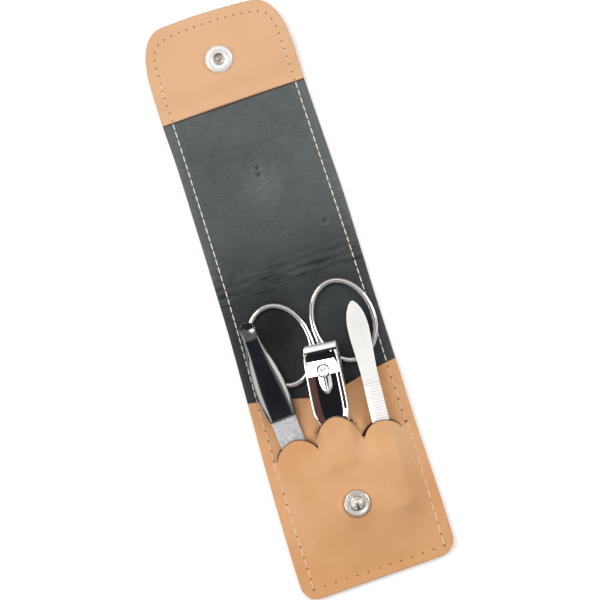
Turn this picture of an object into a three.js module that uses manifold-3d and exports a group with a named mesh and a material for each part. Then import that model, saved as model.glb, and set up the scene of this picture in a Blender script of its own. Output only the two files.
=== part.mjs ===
// Manicure set case, lying open and flat: a leather pouch case that holds a nail file, scissors,
// a nail clipper and tweezers. The pocket is one leather panel with three arched slits: file, clipper
// and tweezers pass through the slits, and the scissors lie behind the panel.
// Millimetres. +X is to the right, +Y runs towards the flap, +Z is up. The origin is on the table,
// under the middle of the open case.

import * as THREE from 'three';
import { mergeVertices } from 'three/addons/utils/BufferGeometryUtils.js';
import Module from 'manifold-3d';

const wasm = await Module();
wasm.setup();

// Leather and clearances
const outerThickness = 1.0;
const liningThickness = 0.6;
const panelThickness = 0.9;
const facingThickness = 0.9;
const clearance = 0.3;
const fitGap = 0.15;
const cutOverrun = 2;
const mergeDistance = 0.00001;

// Outline of the open case
const caseLength = 237.4;
const mouthHalfWidth = 31;
const bottomFlare = 1.15;
const foldTaper = 0.6;
const flapTaper = 1.1;
const foldSway = 0.7;
const mouthSway = 0.3;
const flapSway = -0.2;
const straightCover = 46;
const bottomCornerRadius = 6.5;
const bottomSkew = 1.9;
const flapCornerLength = 24;
const flapCornerWidth = 12;
const flapCrown = 0.3;

// Fold: the spine strip between the two creases, and how far above the lining the creases turn
const closedDepth = 13.1;
const creaseHeight = 1.3;
const creaseGap = 0.3;

// Snap fastener
const snapOffset = -0.6;
const socketFromFlap = 19.4;
const studFromBottom = 32.3;
const studRadius = 5.2;
const studFlangeHeight = 0.9;
const studPostHeight = 3.1;
const studHeadRadius = 1.85;
const studNeckRadius = 1.45;
const studShankRadius = 1.6;
const socketRadius = 5.6;
const socketHeight = 1.5;
const socketHoleRadius = 2.35;
const socketCavityRadius = 3.3;
const socketLipHeight = 0.45;
const socketBarrelRadius = 3.9;
const springWireRadius = 0.3;
const springReach = 2.25;
const snapGap = 0.4;
const capRadius = 6.2;
const capHeight = 1.2;
const capPostRadius = 2.4;
const washerRadius = 4;
const washerThickness = 0.6;

// Flap: facing, and how far the flap stands off the table on its cap
const facingDepth = 37.8;
const facingSkew = 1.9;
const flapRise = 1.2;
const riseLength = 9.4;
const riseFromFacingEdge = 2.6;

// Pocket panel: its top edge and its three lobes, cut by arched slits
const panelEdgeFromBottom = 83;
const panelDip = 6.6;
const stitchInset = 4.4;
const fileLobe = { centre: -17.2, halfWidth: 9, fromBottom: 57.7, rise: 6 };
const clipperLobe = { centre: 0.1, halfWidth: 8, fromBottom: 62.6, rise: 5.6 };
const tweezersLobe = { centre: 17, halfWidth: 8.4, fromBottom: 56.7, rise: 4.7 };
const lobeGap = 0.35;

// Nail file
const fileHead = { x: -22.2, fromBottom: 114.4 };
const fileTurn = 4.7;
const fileTilt = 2.9;
const fileHeadHeight = 8.2;
const handleLength = 41.4;
const handleWidth = 12.8;
const handleThickness = 4;
const bladeLength = 52;
const bladeWidth = 10.2;
const bladeThickness = 1.2;
const tangLength = 12;
const tangWidth = 4.6;

// Scissors
const scissorsPivot = { x: 5.7, fromBottom: 60.7 };
const scissorsTurn = 4.7;
const rodDiameter = 2.3;
const bowCentreAcross = 13.6;
const bowCentreUp = 41.9;
const bowWidth = 24.2;
const bowLength = 32.9;
const scissorsBladeLength = 32;
const bladePlateThickness = 1;
const pivotPlateRadius = 4.2;
const screwRadius = 1.5;
const screwHeadRadius = 2.6;
const screwHeadThickness = 0.35;

// Nail clipper
const clipperHead = { x: 4, fromBottom: 97.6 };
const clipperTurn = -6;
const clipperRoll = -10;
const clipperLength = 54;
const clipperWidth = 14;
const jawWidth = 12.6;
const clipperTailWidth = 9;
const clipperHalfHeight = 2.3;
const clipperArmThickness = 1.3;
const jawOpening = 1.8;
const jawRoundLength = 3.4;
const clipperRivetFromTail = 3.4;
const rivetRadius = 1.5;
const rivetHeadRadius = 2.4;
const rivetHeadThickness = 0.4;
const pinFromJaw = 10.9;
const pinRadius = 2.8;
const pinHeadRadius = 3.6;
const pinHeadThickness = 0.6;
const pinNotchWidth = 1.2;
const pinNotchDepth = 1.3;
const leverThickness = 0.9;
const leverFlangeHeight = 1.9;
const leverFlangeWidth = 0.9;
const leverWidth = 14.4;
const leverFromJaw = 3.4;
const leverEndFromJaw = 47.5;
const leverLift = 1.2;
const leverWindowLength = 2.4;
const leverWindowBorder = 0.9;
const leverBarLength = 6;
const leverBarFromPin = 1.2;
const leverTongueWidth = 6.6;
const leverTongueLength = 8.2;
const leverTongueHeight = 0.6;

// Tweezers
const tweezersHead = { x: 21.3, fromBottom: 110 };
const tweezersTurn = -3.75;
const tweezersTilt = 1.2;
const tweezersHeadHeight = 7.8;
const tweezersLength = 84;
const tweezersLeafWidth = 8.4;
const tweezersGripWidth = 6.8;
const tweezersTipWidth = 3.4;
const tweezersArmThickness = 0.9;
const tweezersSpread = 4;
const tweezersTipGap = 1.8;
const spacerThickness = 0.5;
const spacerLength = 10;
const spacerWidth = 3.6;

// Worked out from the driving dimensions
const flapEnd = caseLength / 2;
const bottomEnd = -caseLength / 2;
const bottomHalfWidth = mouthHalfWidth + bottomFlare;
const foldHalfWidth = mouthHalfWidth - foldTaper;
const flapHalfWidth = mouthHalfWidth - flapTaper;
const liningTop = outerThickness + liningThickness;
const spineWidth = closedDepth - 2 * creaseHeight;
const studY = bottomEnd + studFromBottom;
const socketY = flapEnd - socketFromFlap;
const lowerCreaseY = (studY + socketY - spineWidth) / 2;
const upperCreaseY = lowerCreaseY + spineWidth;
const creaseZ = liningTop + creaseHeight;
const facingEdgeY = flapEnd - facingDepth;
const panelCornerY = bottomEnd + panelEdgeFromBottom;
const facingTop = flapRise + liningTop + facingThickness;
const closedFacingZ = creaseZ + spineWidth - (facingTop - creaseZ);
const studSeatZ = closedFacingZ - socketHeight - snapGap - studFlangeHeight;
const rodRadius = rodDiameter / 2;
const scissorsMidZ = liningTop + clearance + rodRadius;
const scissorsTop = scissorsMidZ + rodRadius;
const clipperMidZ = scissorsTop + panelThickness + 2 * clearance + clipperHalfHeight;
const handleHalf = handleThickness / 2;

const degrees = Math.PI / 180;
const roundSegments = 32;

const tan = new THREE.MeshStandardMaterial({ color: 0xd2a06c, roughness: 0.55, metalness: 0 });
const black = new THREE.MeshStandardMaterial({ color: 0x3b4140, roughness: 0.45, metalness: 0 });
const steel = new THREE.MeshStandardMaterial({ color: 0xd6d7d8, roughness: 0.18, metalness: 1 });
const gloss = new THREE.MeshStandardMaterial({ color: 0x15171a, roughness: 0.15, metalness: 0 });
const grit = new THREE.MeshStandardMaterial({ color: 0xa9adb0, roughness: 0.8, metalness: 0.3 });

const root = new THREE.Group();

// Small helpers
const clamp01 = (t) => Math.min(1, Math.max(0, t));
const mix = (from, to, share) => from + (to - from) * share;
function ease(from, to, value) {
	const share = clamp01((value - from) / (to - from));
	return share * share * (3 - 2 * share);
}

function signedVolume(position, index) {
	const corner = [new THREE.Vector3(), new THREE.Vector3(), new THREE.Vector3()];
	let volume = 0;
	for (let i = 0; i < index.length; i += 3) {
		corner.forEach((point, k) => point.fromBufferAttribute(position, index[i + k]));
		volume += corner[0].dot(corner[1].clone().cross(corner[2])) / 6;
	}
	return volume;
}

// Turns a closed three.js geometry into a solid, with its faces pointing out.
function solidFrom(geometry) {
	const bare = geometry.clone();
	bare.deleteAttribute('normal');
	bare.deleteAttribute('uv');
	const merged = mergeVertices(bare, mergeDistance);
	const position = merged.getAttribute('position');
	const triangles = [];
	const source = merged.index.array;
	for (let i = 0; i < source.length; i += 3) {
		const [a, b, c] = [source[i], source[i + 1], source[i + 2]];
		if (a !== b && b !== c && c !== a) triangles.push(a, b, c);
	}
	if (signedVolume(position, triangles) < 0) triangles.reverse();
	return new wasm.Manifold(new wasm.Mesh({
		numProp: 3,
		vertProperties: new Float32Array(position.array),
		triVerts: new Uint32Array(triangles),
	}));
}

function geometryFrom(solid) {
	const mesh = solid.getMesh();
	const geometry = new THREE.BufferGeometry();
	geometry.setAttribute('position', new THREE.BufferAttribute(new Float32Array(mesh.vertProperties), 3));
	geometry.setIndex(Array.from(mesh.triVerts));
	geometry.computeVertexNormals();
	return geometry;
}

function addPiece(parent, name, solid, material) {
	const mesh = new THREE.Mesh(geometryFrom(solid), material);
	mesh.name = name;
	parent.add(mesh);
}

// A flat outline in X and Y, raised from bottom to top.
function prism(shape, bottom, top) {
	const options = { depth: top - bottom, bevelEnabled: false, curveSegments: 8 };
	const geometry = new THREE.ExtrudeGeometry(shape, options);
	return solidFrom(geometry.translate(0, 0, bottom));
}

// A side outline, points of [Y, Z], swept across X.
function across(points, halfWidth) {
	const shape = new THREE.Shape(points.map(([y, z]) => new THREE.Vector2(y, z)));
	const geometry = new THREE.ExtrudeGeometry(shape, { depth: 2 * halfWidth, bevelEnabled: false });
	geometry.translate(0, 0, -halfWidth);
	const turn = new THREE.Matrix4().makeBasis(
		new THREE.Vector3(0, 1, 0), new THREE.Vector3(0, 0, 1), new THREE.Vector3(1, 0, 0));
	return solidFrom(geometry.applyMatrix4(turn));
}

// A profile of [radius, height] turned round the upright axis at x, y.
function turned(points, x, y, segments = roundSegments) {
	const profile = points.map(([radius, height]) => new THREE.Vector2(radius, height));
	const geometry = new THREE.LatheGeometry(profile, segments);
	return solidFrom(geometry.rotateX(Math.PI / 2).translate(x, y, 0));
}

function disc(radius, bottom, top, x = 0, y = 0) {
	return turned([[0, bottom], [radius, bottom], [radius, top], [0, top]], x, y);
}

function block(width, length, height, x, y, z) {
	return solidFrom(new THREE.BoxGeometry(width, length, height).translate(x, y, z));
}

// Joins rings of points, all with as many points, into one closed body with flat ends.
function loft(rings) {
	const size = rings[0].length;
	const points = rings.flat();
	const index = [];
	for (let ring = 0; ring + 1 < rings.length; ring++) {
		for (let i = 0; i < size; i++) {
			const a = ring * size + i;
			const b = ring * size + (i + 1) % size;
			index.push(a, b, b + size, a, b + size, a + size);
		}
	}
	const last = (rings.length - 1) * size;
	for (let i = 1; i + 1 < size; i++) {
		index.push(0, i + 1, i);
		index.push(last, last + i, last + i + 1);
	}
	const geometry = new THREE.BufferGeometry().setFromPoints(points);
	geometry.setIndex(index);
	return solidFrom(geometry);
}

// A plan outline, symmetric about Y, from [distance below the head, half width].
function bladeShape(stations) {
	const shape = new THREE.Shape();
	stations.forEach(([down, half], i) => (i ? shape.lineTo(half, -down) : shape.moveTo(half, -down)));
	[...stations].reverse().forEach(([down, half]) => shape.lineTo(-half, -down));
	shape.closePath();
	return shape;
}

// A flap corner as a squared-off quarter ellipse: points of [X, Y], from the side to the top
function flapCorner() {
	const squareness = 2.4;
	const cornerSteps = 12;
	const points = [];
	for (let step = 1; step <= cornerSteps; step++) {
		const angle = step / cornerSteps * Math.PI / 2;
		points.push([
			flapHalfWidth - flapCornerWidth * (1 - Math.cos(angle) ** (2 / squareness)),
			flapEnd - flapCrown - flapCornerLength * (1 - Math.sin(angle) ** (2 / squareness)),
		]);
	}
	return points;
}

// Outline of the whole open case. Its middle sways a little to the right, as the leather lies.
function caseOutline() {
	const shape = new THREE.Shape();
	const leftBottom = bottomEnd;
	const rightBottom = bottomEnd + bottomSkew;
	const radius = bottomCornerRadius;
	const corner = flapCorner();
	const sides = [
		[mouthHalfWidth, mouthSway, panelCornerY],
		[foldHalfWidth, foldSway, lowerCreaseY],
		[foldHalfWidth, foldSway, facingEdgeY - straightCover],
		[flapHalfWidth, flapSway, facingEdgeY],
		[flapHalfWidth, flapSway, flapEnd - flapCrown - flapCornerLength],
	];
	shape.moveTo(-bottomHalfWidth + radius, leftBottom);
	shape.lineTo(bottomHalfWidth - radius, rightBottom);
	shape.absarc(bottomHalfWidth - radius, rightBottom + radius, radius, -Math.PI / 2, 0, false);
	sides.forEach(([half, sway, y]) => shape.lineTo(half + sway, y));
	corner.forEach(([x, y]) => shape.lineTo(x + flapSway, y));
	const topHalf = flapHalfWidth - flapCornerWidth;
	shape.quadraticCurveTo(0, flapEnd + flapCrown, flapSway - topHalf, flapEnd - flapCrown);
	corner.reverse().forEach(([x, y]) => shape.lineTo(flapSway - x, y));
	sides.reverse().forEach(([half, sway, y]) => shape.lineTo(sway - half, y));
	shape.lineTo(-bottomHalfWidth, leftBottom + radius);
	shape.absarc(-bottomHalfWidth + radius, leftBottom + radius, radius, Math.PI, 1.5 * Math.PI, false);
	return shape;
}

const highest = closedDepth + 2 * liningTop + cutOverrun;
const outlinePrism = prism(caseOutline(), -cutOverrun, highest);
const sheetHalfWidth = bottomHalfWidth + cutOverrun;

// A sheet between two Y places, lifted by the cover's own rise.
function sheet(from, to, bottom, top, rise = () => 0) {
	const riseStart = facingEdgeY + riseFromFacingEdge;
	const riseSteps = 8;
	const places = [from];
	for (let step = 0; step <= riseSteps; step++) {
		const y = riseStart + riseLength * step / riseSteps;
		if (y > from && y < to) places.push(y);
	}
	places.push(to);
	const low = places.map((y) => [y, bottom + rise(y)]);
	const high = places.map((y) => [y, top + rise(y)]).reverse();
	return across([...low, ...high], sheetHalfWidth).intersect(outlinePrism);
}

function coverRise(y) {
	const start = facingEdgeY + riseFromFacingEdge;
	return flapRise * ease(start, start + riseLength, y);
}

// Back panel, spine strip and cover, each of outer leather and lining
function buildLeather() {
	const backEnd = lowerCreaseY - creaseGap / 2;
	const spineStart = lowerCreaseY + creaseGap / 2;
	const spineEnd = upperCreaseY - creaseGap / 2;
	const coverStart = upperCreaseY + creaseGap / 2;
	const low = bottomEnd - cutOverrun;
	const high = flapEnd + cutOverrun;
	addPiece(root, 'back_outer_leather', sheet(low, backEnd, 0, outerThickness), tan);
	addPiece(root, 'back_lining', sheet(low, backEnd, outerThickness, liningTop), black);
	addPiece(root, 'spine_outer_leather', sheet(spineStart, spineEnd, 0, outerThickness), tan);
	addPiece(root, 'spine_lining', sheet(spineStart, spineEnd, outerThickness, liningTop), black);

	const postHole = disc(capPostRadius + clearance, -cutOverrun, highest, snapOffset, socketY);
	const barrelHole = disc(socketBarrelRadius + clearance, -cutOverrun, highest, snapOffset, socketY);
	const outer = sheet(coverStart, high, 0, outerThickness, coverRise);
	const lining = sheet(coverStart, high, outerThickness, liningTop, coverRise);
	const facingPlan = new THREE.Shape([
		new THREE.Vector2(-sheetHalfWidth, facingEdgeY - facingSkew / 2),
		new THREE.Vector2(sheetHalfWidth, facingEdgeY + facingSkew / 2),
		new THREE.Vector2(sheetHalfWidth, high),
		new THREE.Vector2(-sheetHalfWidth, high),
	]);
	const facing = sheet(facingEdgeY - facingSkew, high, liningTop, liningTop + facingThickness, coverRise)
		.intersect(prism(facingPlan, -cutOverrun, highest));
	addPiece(root, 'cover_outer_leather', outer.subtract(postHole), tan);
	addPiece(root, 'cover_lining', lining.subtract(barrelHole), black);
	addPiece(root, 'flap_facing', facing.subtract(barrelHole), tan);
}

// Centre lines of the tools, as X at a given Y
const lineX = (head, turn, y) => head.x - (head.y - y) * Math.tan(-turn * degrees);
const fileOrigin = { x: fileHead.x, y: bottomEnd + fileHead.fromBottom };
const clipperOrigin = { x: clipperHead.x, y: bottomEnd + clipperHead.fromBottom };
const tweezersOrigin = { x: tweezersHead.x, y: bottomEnd + tweezersHead.fromBottom };
const scissorsOrigin = { x: scissorsPivot.x, y: bottomEnd + scissorsPivot.fromBottom };

// Side outlines of the clipper and the tweezers, at a distance below the head
function clipperOuter(down) {
	const tail = fitGap + clipperArmThickness;
	const taper = ease(pinFromJaw, clipperLength - 2 * clipperRivetFromTail, down);
	const round = Math.sqrt(1 - (1 - clamp01(down / jawRoundLength)) ** 2);
	return mix(jawOpening / 2 + clearance, mix(clipperHalfHeight, tail, taper), round);
}

function clipperInner(down) {
	const lip = ease(clipperArmThickness / 2, clipperArmThickness * 1.6, down);
	return mix(jawOpening / 2, clipperOuter(down) - clipperArmThickness, lip);
}

function tweezersInner(down) {
	const weld = spacerThickness / 2 + fitGap;
	const bellyStart = spacerLength + 2 * tweezersArmThickness;
	const belly = ease(bellyStart, 0.55 * tweezersLength, down);
	const closing = ease(0.7 * tweezersLength, tweezersLength, down);
	return mix(mix(weld, tweezersSpread / 2, belly), tweezersTipGap / 2, closing);
}

function leverBottom(down) {
	const tail = fitGap + clipperArmThickness + clearance;
	return mix(clipperHalfHeight + clearance, tail, ease(pinFromJaw, leverEndFromJaw, down));
}

function leverTop(down) {
	const flat = ease(leverEndFromJaw * 0.5, leverEndFromJaw * 0.85, down);
	return leverBottom(down) + mix(leverFlangeHeight, leverThickness, flat);
}

// One lobe's arch across the case: full height on the tool, and down to nothing at the foot.
function archShare(distance, flat, foot) {
	const share = clamp01((distance - flat) / (foot - flat));
	return Math.sqrt(1 - share * share);
}

function ridgeLift(distance, height, foot) {
	return height * (1 - ease(clipperLobe.halfWidth, foot, distance));
}

// The share runs from 0 at the slits to 1 where the clipper has ended and the stud's seat begins.
const clipperEndY = clipperOrigin.y - clipperLength * Math.cos(clipperTurn * degrees);
const leverEndY = clipperOrigin.y - leverEndFromJaw * Math.cos(clipperTurn * degrees);
const seatTopY = studY + studRadius + clearance;
const seatEndY = studY - studRadius - clearance;
const hemY = bottomEnd + stitchInset + bottomSkew;
const slitY = bottomEnd + clipperLobe.fromBottom;
const slitRidgeLift = 5.7;
const sideRise = 0.6;
const sideFoot = 5.7;
const sideSeam = bottomHalfWidth - stitchInset;
const leverReach = leverEndFromJaw - pinFromJaw;
const leverLiftRoom = leverReach * Math.sin(leverLift * degrees);

function clipperCrest(y) {
	const lobeDown = clipperOrigin.y - slitY - clipperLobe.rise;
	const lobeLift = leverLiftRoom * (lobeDown - pinFromJaw) / leverReach;
	const lobeTop = clipperMidZ + leverTop(lobeDown) + lobeLift;
	const leverEnd = clipperMidZ + leverTop(leverEndFromJaw) + leverLiftRoom;
	const tail = clipperMidZ + clipperArmThickness + 2 * fitGap + rivetHeadThickness;
	const seat = studSeatZ - panelThickness;
	let z = mix(lobeTop, leverEnd, ease(slitY, leverEndY, y));
	z = mix(z, tail, ease(leverEndY, clipperEndY, y));
	z += clearance + fitGap;
	z = mix(z, seat, ease(clipperEndY, seatTopY, y));
	return mix(z - liningTop, 0, ease(seatEndY, hemY, y));
}

function crestOverTool(originY, headHeight, tilt, halfHeight, endY, y) {
	const down = (originY - y) * Math.sin(tilt * degrees);
	const lift = headHeight - down + halfHeight + clearance - liningTop;
	return lift * (1 - ease(endY - clearance, hemY, y));
}

function lowerLift(x, y) {
	const fileEnd = fileOrigin.y - (handleLength + bladeLength);
	const fileCrest = crestOverTool(fileOrigin.y, fileHeadHeight, fileTilt, bladeThickness / 2, fileEnd, y);
	const fileAway = Math.abs(x - lineX(fileOrigin, fileTurn, y));
	const fileLift = fileCrest * archShare(fileAway, bladeWidth / 2 + fitGap, fileLobe.halfWidth - 2 * fitGap);

	const tweezersEnd = tweezersOrigin.y - tweezersLength;
	const armHeight = tweezersSpread / 2 + tweezersArmThickness;
	const tweezersCrest = crestOverTool(
		tweezersOrigin.y, tweezersHeadHeight, tweezersTilt, armHeight, tweezersEnd, y);
	const tweezersAway = Math.abs(x - lineX(tweezersOrigin, tweezersTurn, y));
	const tweezersFlat = tweezersGripWidth / 2 + clearance;
	const tweezersFoot = tweezersLobe.halfWidth - panelThickness;
	const tweezersLift = tweezersCrest * archShare(tweezersAway, tweezersFlat, tweezersFoot);

	const crest = clipperCrest(y);
	const spread = ease(slitY - clearance, studY + studFromBottom / 2, y);
	const shoulder = mix(slitRidgeLift, crest, spread);
	const foot = mix(clipperLobe.halfWidth + sideFoot, sideSeam, spread);
	const fromClipper = x - mix(lineX(clipperOrigin, clipperTurn, y), snapOffset, spread);
	const clipperAway = Math.abs(fromClipper);
	const flat = mix(clipperLobe.halfWidth - 3 * clipperArmThickness, studRadius + clearance, spread);
	const arch = archShare(clipperAway, flat, clipperLobe.halfWidth);
	const rolled = (1 - ease(leverEndY, clipperEndY, y)) * fromClipper * Math.sin(-clipperRoll * degrees);
	const clipperLift = clipperAway < clipperLobe.halfWidth
		? mix(shoulder, crest + rolled, arch)
		: ridgeLift(clipperAway, shoulder, foot);
	const sharpness = 6;
	const sum = fileLift ** sharpness + tweezersLift ** sharpness + clipperLift ** sharpness;
	return sum ** (1 / sharpness);
}

function upperLift(x, y) {
	const overScissors = scissorsTop + clearance - liningTop;
	const scissorsAway = Math.abs(x - lineX(scissorsOrigin, scissorsTurn, y));
	const flat = pivotPlateRadius + 2 * clearance;
	const scissorsLift = mix(overScissors, sideRise, ease(flat, flat + pivotPlateRadius, scissorsAway));
	const clipperAway = Math.abs(x - lineX(clipperOrigin, clipperTurn, y));
	const wall = ease(clipperLobe.halfWidth - panelThickness, clipperLobe.halfWidth, clipperAway);
	const grown = ease(bottomEnd + panelEdgeFromBottom - panelDip, slitY, y);
	const ridge = wall * grown * ridgeLift(clipperAway, slitRidgeLift, clipperLobe.halfWidth + sideFoot);
	const inside = 1 - ease(sideSeam - 2 * panelThickness, sideSeam, Math.abs(x));
	return inside * Math.max(scissorsLift, ridge);
}

// The pocket panel: a sheet that follows the tools, with its three slits left open
const lobes = [fileLobe, clipperLobe, tweezersLobe];
const lobeColumnShares = [-1, -0.94, -0.82, -0.6, -0.3, 0, 0.3, 0.6, 0.82, 0.94, 1];
const upperRowShares = [0, 0.2, 0.42, 0.64, 0.84, 1];
const lobeRowShares = [0, 0.07, 0.16, 0.28, 0.42, 0.56, 0.7, 0.85];
const seatRowShares = [0, 0.5];
const hemRowShares = [0, 0.16, 0.34, 0.52, 0.7, 0.86, 1];

function panelEdge(x) {
	const share = clamp01(Math.abs(x) / mouthHalfWidth);
	return bottomEnd + panelEdgeFromBottom - panelDip * (1 - share) ** 1.25;
}

function lobeEdge(lobe, share) {
	return bottomEnd + lobe.fromBottom + lobe.rise * (1 - share * share) ** 0.75;
}

function panelColumns() {
	const outer = bottomHalfWidth + cutOverrun;
	const columns = [-outer, -bottomHalfWidth + stitchInset / 2, -sideSeam].map((x) => ({
		x, slitY: lobeEdge(fileLobe, 1), open: false }));
	lobes.forEach((lobe) => {
		const half = lobe.halfWidth - lobeGap;
		lobeColumnShares.forEach((share) => columns.push({
			x: lobe.centre + share * half, slitY: lobeEdge(lobe, share), open: Math.abs(share) < 1 }));
	});
	[sideSeam, bottomHalfWidth - stitchInset / 2, outer].forEach((x) => columns.push({
		x, slitY: lobeEdge(tweezersLobe, 1), open: false }));
	return columns;
}

function panelPoint(lift, x, y, height) {
	const step = 0.1 * panelThickness;
	const normal = new THREE.Vector3(
		(lift(x - step, y) - lift(x + step, y)) / (2 * step),
		(lift(x, y - step) - lift(x, y + step)) / (2 * step),
		1).normalize();
	return new THREE.Vector3(x, y, liningTop + lift(x, y)).addScaledVector(normal, height);
}

function buildPocketPanel() {
	const columns = panelColumns();
	const points = [];
	const index = [];
	const quad = (a, b, c, d) => index.push(a, b, c, a, c, d);
	const addRow = (lift, share, rowY) => columns.map((column) => {
		const y = rowY(column, share);
		const under = points.push(panelPoint(lift, column.x, y, 0)) - 1;
		const over = points.push(panelPoint(lift, column.x, y, panelThickness)) - 1;
		return { under, over };
	});
	const upperY = (column, share) => mix(panelEdge(column.x), column.slitY, share);
	const lobeY = (column, share) => mix(column.slitY, seatTopY, share);
	const seatY = (column, share) => mix(seatTopY, seatEndY, share);
	const hemRowY = (column, share) => mix(seatEndY, bottomEnd - cutOverrun, share);
	const upper = upperRowShares.map((share) => addRow(upperLift, share, upperY));
	const lower = [
		...lobeRowShares.map((share) => addRow(lowerLift, share, lobeY)),
		...seatRowShares.map((share) => addRow(lowerLift, share, seatY)),
		...hemRowShares.map((share) => addRow(lowerLift, share, hemRowY)),
	];
	const slitRow = upper[upper.length - 1];
	columns.forEach((column, i) => {
		if (!column.open) slitRow[i] = lower[0][i];
	});
	for (const rows of [upper, lower]) {
		for (let j = 0; j + 1 < rows.length; j++) {
			for (let i = 0; i + 1 < columns.length; i++) {
				const [a, b] = [rows[j][i], rows[j + 1][i]];
				const [d, c] = [rows[j][i + 1], rows[j + 1][i + 1]];
				quad(a.over, b.over, c.over, d.over);
				quad(a.under, d.under, c.under, b.under);
			}
			const [left, leftNext] = [rows[j][0], rows[j + 1][0]];
			quad(left.over, left.under, leftNext.under, leftNext.over);
			const end = columns.length - 1;
			const [right, rightNext] = [rows[j][end], rows[j + 1][end]];
			quad(right.over, rightNext.over, rightNext.under, right.under);
		}
	}
	const wallUp = (a, b) => quad(a.over, b.over, b.under, a.under);
	const wallDown = (a, b) => quad(a.under, b.under, b.over, a.over);
	const hem = lower[lower.length - 1];
	for (let i = 0; i + 1 < columns.length; i++) {
		wallUp(upper[0][i], upper[0][i + 1]);
		wallDown(hem[i], hem[i + 1]);
		if (columns[i].open || columns[i + 1].open) {
			wallDown(slitRow[i], slitRow[i + 1]);
			wallUp(lower[0][i], lower[0][i + 1]);
		}
	}
	const geometry = new THREE.BufferGeometry().setFromPoints(points);
	geometry.setIndex(index);
	const hole = disc(studShankRadius + clearance, -cutOverrun, highest, snapOffset, studY);
	return solidFrom(geometry).intersect(outlinePrism).subtract(hole);
}

// Snap fastener: stud and washer on the pocket panel, socket, spring and cap on the flap
function buildSnap() {
	const seat = studSeatZ;
	const flangeTop = seat + studFlangeHeight;
	const postTop = flangeTop + studPostHeight;
	const under = seat - panelThickness - washerThickness;
	const stud = turned([
		[0, under], [studShankRadius, under], [studShankRadius, seat], [studRadius * 0.93, seat],
		[studRadius, seat + studFlangeHeight * 0.3], [studRadius * 0.97, seat + studFlangeHeight * 0.6],
		[studRadius * 0.84, seat + studFlangeHeight * 0.95], [studRadius * 0.74, flangeTop],
		[studRadius * 0.66, seat + studFlangeHeight * 0.7], [studRadius * 0.56, seat + studFlangeHeight * 0.55],
		[studRadius * 0.5, seat + studFlangeHeight * 0.9], [studHeadRadius, flangeTop],
		[studHeadRadius, flangeTop + studPostHeight * 0.5], [studNeckRadius, flangeTop + studPostHeight * 0.62],
		[studNeckRadius, flangeTop + studPostHeight * 0.76], [studHeadRadius, flangeTop + studPostHeight * 0.85],
		[studHeadRadius, flangeTop + studPostHeight * 0.92], [studHeadRadius * 0.72, postTop], [0, postTop],
	], snapOffset, studY);
	addPiece(root, 'snap_stud', stud, steel);

	const washerTop = seat - panelThickness;
	const washerHole = studShankRadius + fitGap;
	const washer = turned([
		[washerHole, under], [washerRadius, under], [washerRadius, washerTop], [washerHole, washerTop],
		[washerHole, under],
	], snapOffset, studY);
	addPiece(root, 'stud_washer', washer, steel);

	const face = facingTop;
	const top = face + socketHeight;
	const barrelFoot = flapRise + outerThickness + fitGap;
	const socket = turned([
		[socketCavityRadius, barrelFoot], [socketBarrelRadius, barrelFoot], [socketBarrelRadius, face],
		[socketRadius * 0.96, face], [socketRadius, face + socketHeight * 0.2],
		[socketRadius * 0.97, face + socketHeight * 0.5], [socketRadius * 0.86, top - socketHeight * 0.1],
		[socketRadius * 0.78, top], [socketRadius * 0.7, top - socketHeight * 0.12],
		[socketRadius * 0.58, face + socketHeight * 0.62], [socketHoleRadius * 1.12, face + socketHeight * 0.55],
		[socketHoleRadius, face + socketHeight * 0.42],
		[socketHoleRadius, face + socketHeight * 0.42 - socketLipHeight],
		[socketCavityRadius, face + socketHeight * 0.42 - socketLipHeight],
		[socketCavityRadius, barrelFoot],
	], snapOffset, socketY);
	addPiece(root, 'snap_socket', socket, steel);
	addPiece(root, 'socket_spring', buildSpring(face), steel);

	const leatherFoot = flapRise;
	const postFoot = flapRise + outerThickness;
	const cap = turned([
		[0, leatherFoot - capHeight], [capRadius * 0.45, leatherFoot - capHeight],
		[capRadius * 0.8, leatherFoot - capHeight * 0.72], [capRadius * 0.96, leatherFoot - capHeight * 0.35],
		[capRadius, leatherFoot], [capPostRadius, leatherFoot], [capPostRadius, postFoot], [0, postFoot],
	], snapOffset, socketY);
	addPiece(root, 'snap_cap', cap, steel);
}

// The S-shaped wire in the socket: two bowed wires, one each side of the stud's head, joined at one end
function buildSpring(face) {
	const wireZ = face - springWireRadius;
	const reach = socketCavityRadius - springWireRadius - fitGap;
	const bow = 0.45 * springReach;
	const inner = springReach + springWireRadius - bow;
	const path = new THREE.CatmullRomCurve3([
		new THREE.Vector3(-inner, -reach * 0.62, 0),
		new THREE.Vector3(-springReach, 0, 0),
		new THREE.Vector3(-inner, reach * 0.62, 0),
		new THREE.Vector3(0, reach, 0),
		new THREE.Vector3(inner, reach * 0.62, 0),
		new THREE.Vector3(springReach, 0, 0),
		new THREE.Vector3(inner, -reach * 0.62, 0),
	]);
	const section = new THREE.Shape();
	section.absarc(0, 0, springWireRadius, 0, 2 * Math.PI, false);
	const geometry = new THREE.ExtrudeGeometry(section, {
		extrudePath: path, steps: 30, curveSegments: 3, bevelEnabled: false });
	return solidFrom(geometry.translate(snapOffset, socketY, wireZ));
}

// A group placed at a tool's head, turned in plan, tilted so that the far end is lower, and rolled
function toolGroup(x, y, z, turn, tilt, roll = 0) {
	const group = new THREE.Group();
	group.position.set(x, y, z);
	group.rotation.set(tilt * degrees, roll * degrees, turn * degrees, 'ZYX');
	root.add(group);
	return group;
}

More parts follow.
